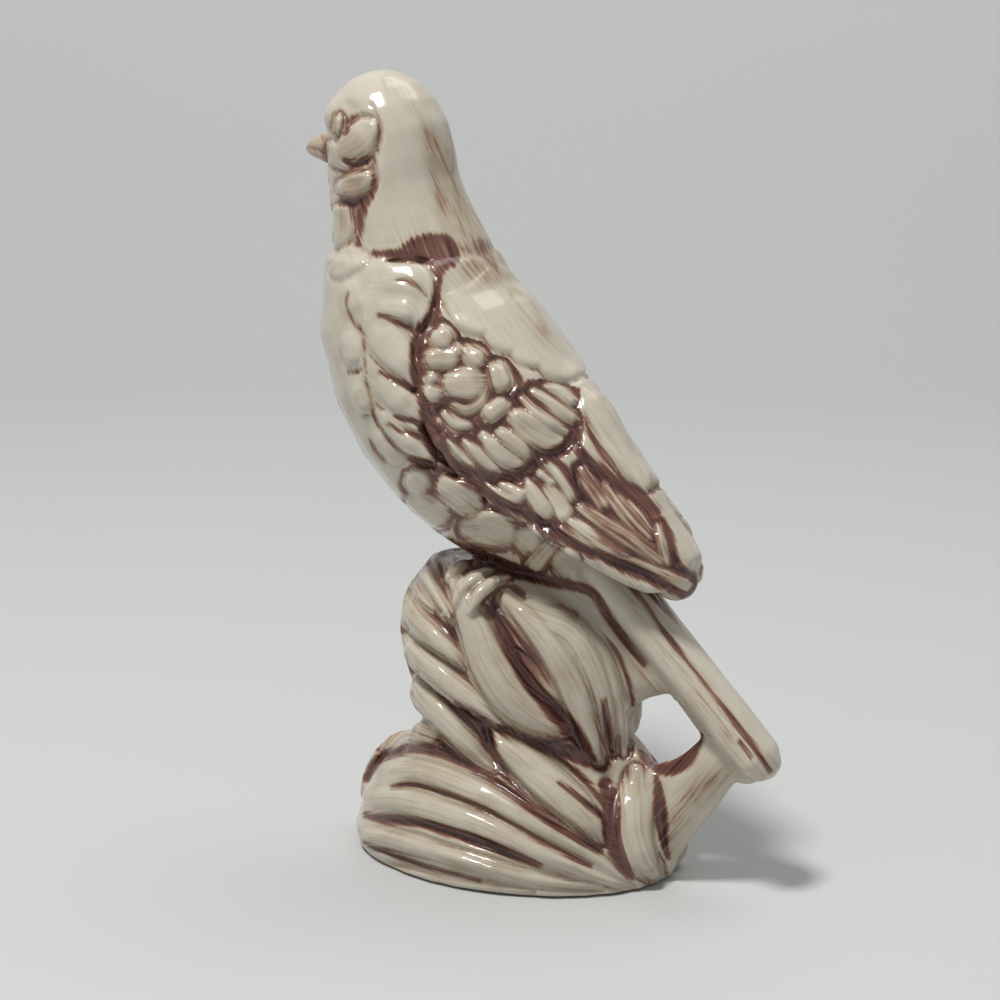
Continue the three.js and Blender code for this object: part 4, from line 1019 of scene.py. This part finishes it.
def glaze(name, pale, shade):
    """Glossy glaze: pale on the raised forms, streaked with a tan wash, stained brown in the recesses, and
    darkened with painted shade in the deepest hollows.
    """
    graph = Graph(name)
    plus, minus, times = (partial(graph.combine, kind) for kind in ("ADD", "SUBTRACT", "MULTIPLY"))
    flow_vector = graph.attribute("flow", "Vector")
    place = graph.add("TexCoord").outputs["Object"]
    stain_and_shade_level, washed, tinted = (graph.attribute(kind) for kind in ("stain_and_shade", "wash", "tint"))
    strands, hairs = graph.noise(flow_vector, *STRANDS), graph.noise(flow_vector, *HAIRS)
    cloud, ripple = graph.noise(place, *CLOUD), graph.noise(place, *RIPPLE)
    looseness = plus(times(times(stain_and_shade_level, minus(1.0, stain_and_shade_level)), RAGGED_EDGE), RAGGED_ELSEWHERE)
    ragged = times(minus(strands, STRAND_LEVEL), looseness)
    streaks = times(washed, plus(graph.step(strands, *STRAND_WASH), graph.step(hairs, *HAIR_WASH)))
    drift = plus(times(minus(cloud, CLOUD_LEVEL), CLOUD_DRIFT), tinted)
    total = plus(plus(stain_and_shade_level, ragged), plus(streaks, drift))
    ramp = graph.add("ValToRGB", {"Fac": total})
    stops = ramp.color_ramp.elements
    stops[0].position, stops[0].color = 0.0, (*pale, 1)
    stops[1].position, stops[1].color = SHADE_AT, (*shade, 1)
    for position, colour in STAIN_AND_SHADE_STOPS:
        stops.new(position).color = (*colour, 1)
    dull = plus(graph.step(cloud, *CLOUD_DULLING), graph.step(stain_and_shade_level, *STAIN_DULLING))
    height = plus(times(ripple, RIPPLE_HEIGHT), times(streaks, STREAK_HEIGHT))
    bump = graph.add("Bump", {"Height": height, **BUMP})
    graph.feed(graph.shader, {"Base Color": ramp.outputs["Color"], "Normal": bump.outputs["Normal"],
                              "Roughness": plus(dull, ROUGHNESS), **COAT})
    return graph.material


MATERIALS = {
    "ivory_glaze": glaze("ivory_glaze", (0.55, 0.50, 0.41), (0.44, 0.37, 0.275)),
    "leaf_glaze": glaze("leaf_glaze", (0.53, 0.48, 0.385), (0.40, 0.325, 0.235)),
    "beak_glaze": glaze("beak_glaze", (0.50, 0.42, 0.33), (0.36, 0.265, 0.195)),
}
NODE_SLOTS = {row["node"]: row["material_slot"] for row in frame["record"]["subparts"]}

face_owner = owners[quads[:, 0]]
counts = np.bincount(face_owner, minlength=len(NODE_NAMES))
covered = [name for name, count in zip(NODE_NAMES, counts) if count < SMALLEST_PIECE_FACES]
too_small = counts[face_owner] < SMALLEST_PIECE_FACES
face_owner = np.where(too_small, NODE_NAMES.index("stump"), face_owner)
for index, name in enumerate(NODE_NAMES):
    if name in covered:
        continue
    piece = shell("glazed_" + name, quads[face_owner == index])
    piece.data.materials.append(MATERIALS[NODE_SLOTS[name]])
    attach(piece, "root")
    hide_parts(name, *(covered if name == "stump" else []))


# Room

FLOOR_COLOUR = (0.545, 0.55, 0.54)
FLOOR_ROUGHNESS = 0.6
WALL_COLOUR = (0.527, 0.53, 0.53)
WALL_START, WALL_END = 0.02, 0.3
LAMPS_AIM = Vector((0, 0, 0.1))
WORLD_COLOUR = (0.92, 0.94, 0.95, 1)
WORLD_STRENGTH = 0.35


def paper(name):
    """Pale paper: lit as a floor, and an even grey to the camera higher up."""
    graph = Graph(name)
    graph.feed(graph.shader, {"Base Color": (*FLOOR_COLOUR, 1), "Roughness": FLOOR_ROUGHNESS})
    glow = graph.add("Emission", {"Color": (*WALL_COLOUR, 1)})
    split = graph.add("SeparateXYZ", {"Vector": graph.add("TexCoord").outputs["Object"]})
    rise = graph.step(split.outputs["Z"], WALL_START, WALL_END)
    path = graph.add("LightPath").outputs
    seen = graph.combine("MAXIMUM", path["Is Camera Ray"], path["Is Glossy Ray"])
    mix = graph.add("MixShader", {"Fac": graph.combine("MULTIPLY", rise, seen),
                                  1: graph.shader.outputs["BSDF"], 2: glow.outputs["Emission"]})
    graph.feed(graph.material.node_tree.nodes["Material Output"], {"Surface": mix.outputs["Shader"]})
    return graph.material


def sweep(name):
    """Floor that turns up into a wall behind the figurine."""
    half_width, front, back, radius, height, bends = 2.2, -1.2, 1.15, 0.5, 1.6, 12
    profile = [(front, 0.0), (back - radius, 0.0)]
    profile += [(back - radius + radius * math.sin(a), radius - radius * math.cos(a))
                for a in np.linspace(0, math.pi / 2, bends + 1)[1:]]
    profile.append((back, height))
    vertices = [(x, y, z) for y, z in profile for x in (-half_width, half_width)]
    faces = [(2 * i, 2 * i + 1, 2 * i + 3, 2 * i + 2) for i in range(len(profile) - 1)]
    mesh = bpy.data.meshes.new(name)
    mesh.from_pydata(vertices, [], faces)
    mesh.polygons.foreach_set("use_smooth", np.ones(len(faces), bool))
    mesh.materials.append(paper(name))
    obj = placed(name, mesh)
    obj.rotation_euler = (0, 0, AZIMUTH)


def soft_box(name, direction, distance, size, power):
    """Round lamp that faces the figurine."""
    light = bpy.data.lights.new(name, "AREA")
    light.shape = "DISK"
    light.size = size
    light.energy = power
    obj = placed(name, light)
    obj.location = LAMPS_AIM + direction.normalized() * distance
    obj.rotation_euler = (LAMPS_AIM - obj.location).to_track_quat("-Z", "Y").to_euler()


sweep("sweep")
view_right, view_up, view_forward = Vector(RIGHT), Vector(UP), Vector(FORWARD)
key_way = -view_right * 0.5 + Vector((0, 0, 1.5)) - view_forward * 0.55
top_way = Vector((0, 0, 1.0)) + view_forward * 0.3 + view_right * 0.3
soft_box("key", key_way, distance=1.5, size=0.32, power=20)
soft_box("top", top_way, distance=1.4, size=0.9, power=4)

world = bpy.data.worlds.new("room")
bpy.context.scene.world = world
world.use_nodes = True
world.node_tree.nodes["Background"].inputs["Color"].default_value = WORLD_COLOUR
world.node_tree.nodes["Background"].inputs["Strength"].default_value = WORLD_STRENGTH

camera = placed("camera", bpy.data.cameras.new("camera"))
camera.location = Vector(EYE) * MM + ORIGIN
camera.rotation_euler = Matrix((view_right, view_up, -view_forward)).transposed().to_euler()
camera.data.sensor_width = SENSOR
camera.data.lens = SENSOR * FOCAL_LENGTH / PHOTO_SIZE
camera.data.clip_start = CLIP_START
bpy.context.scene.camera = camera
bpy.context.scene.view_settings.view_transform = "Standard"
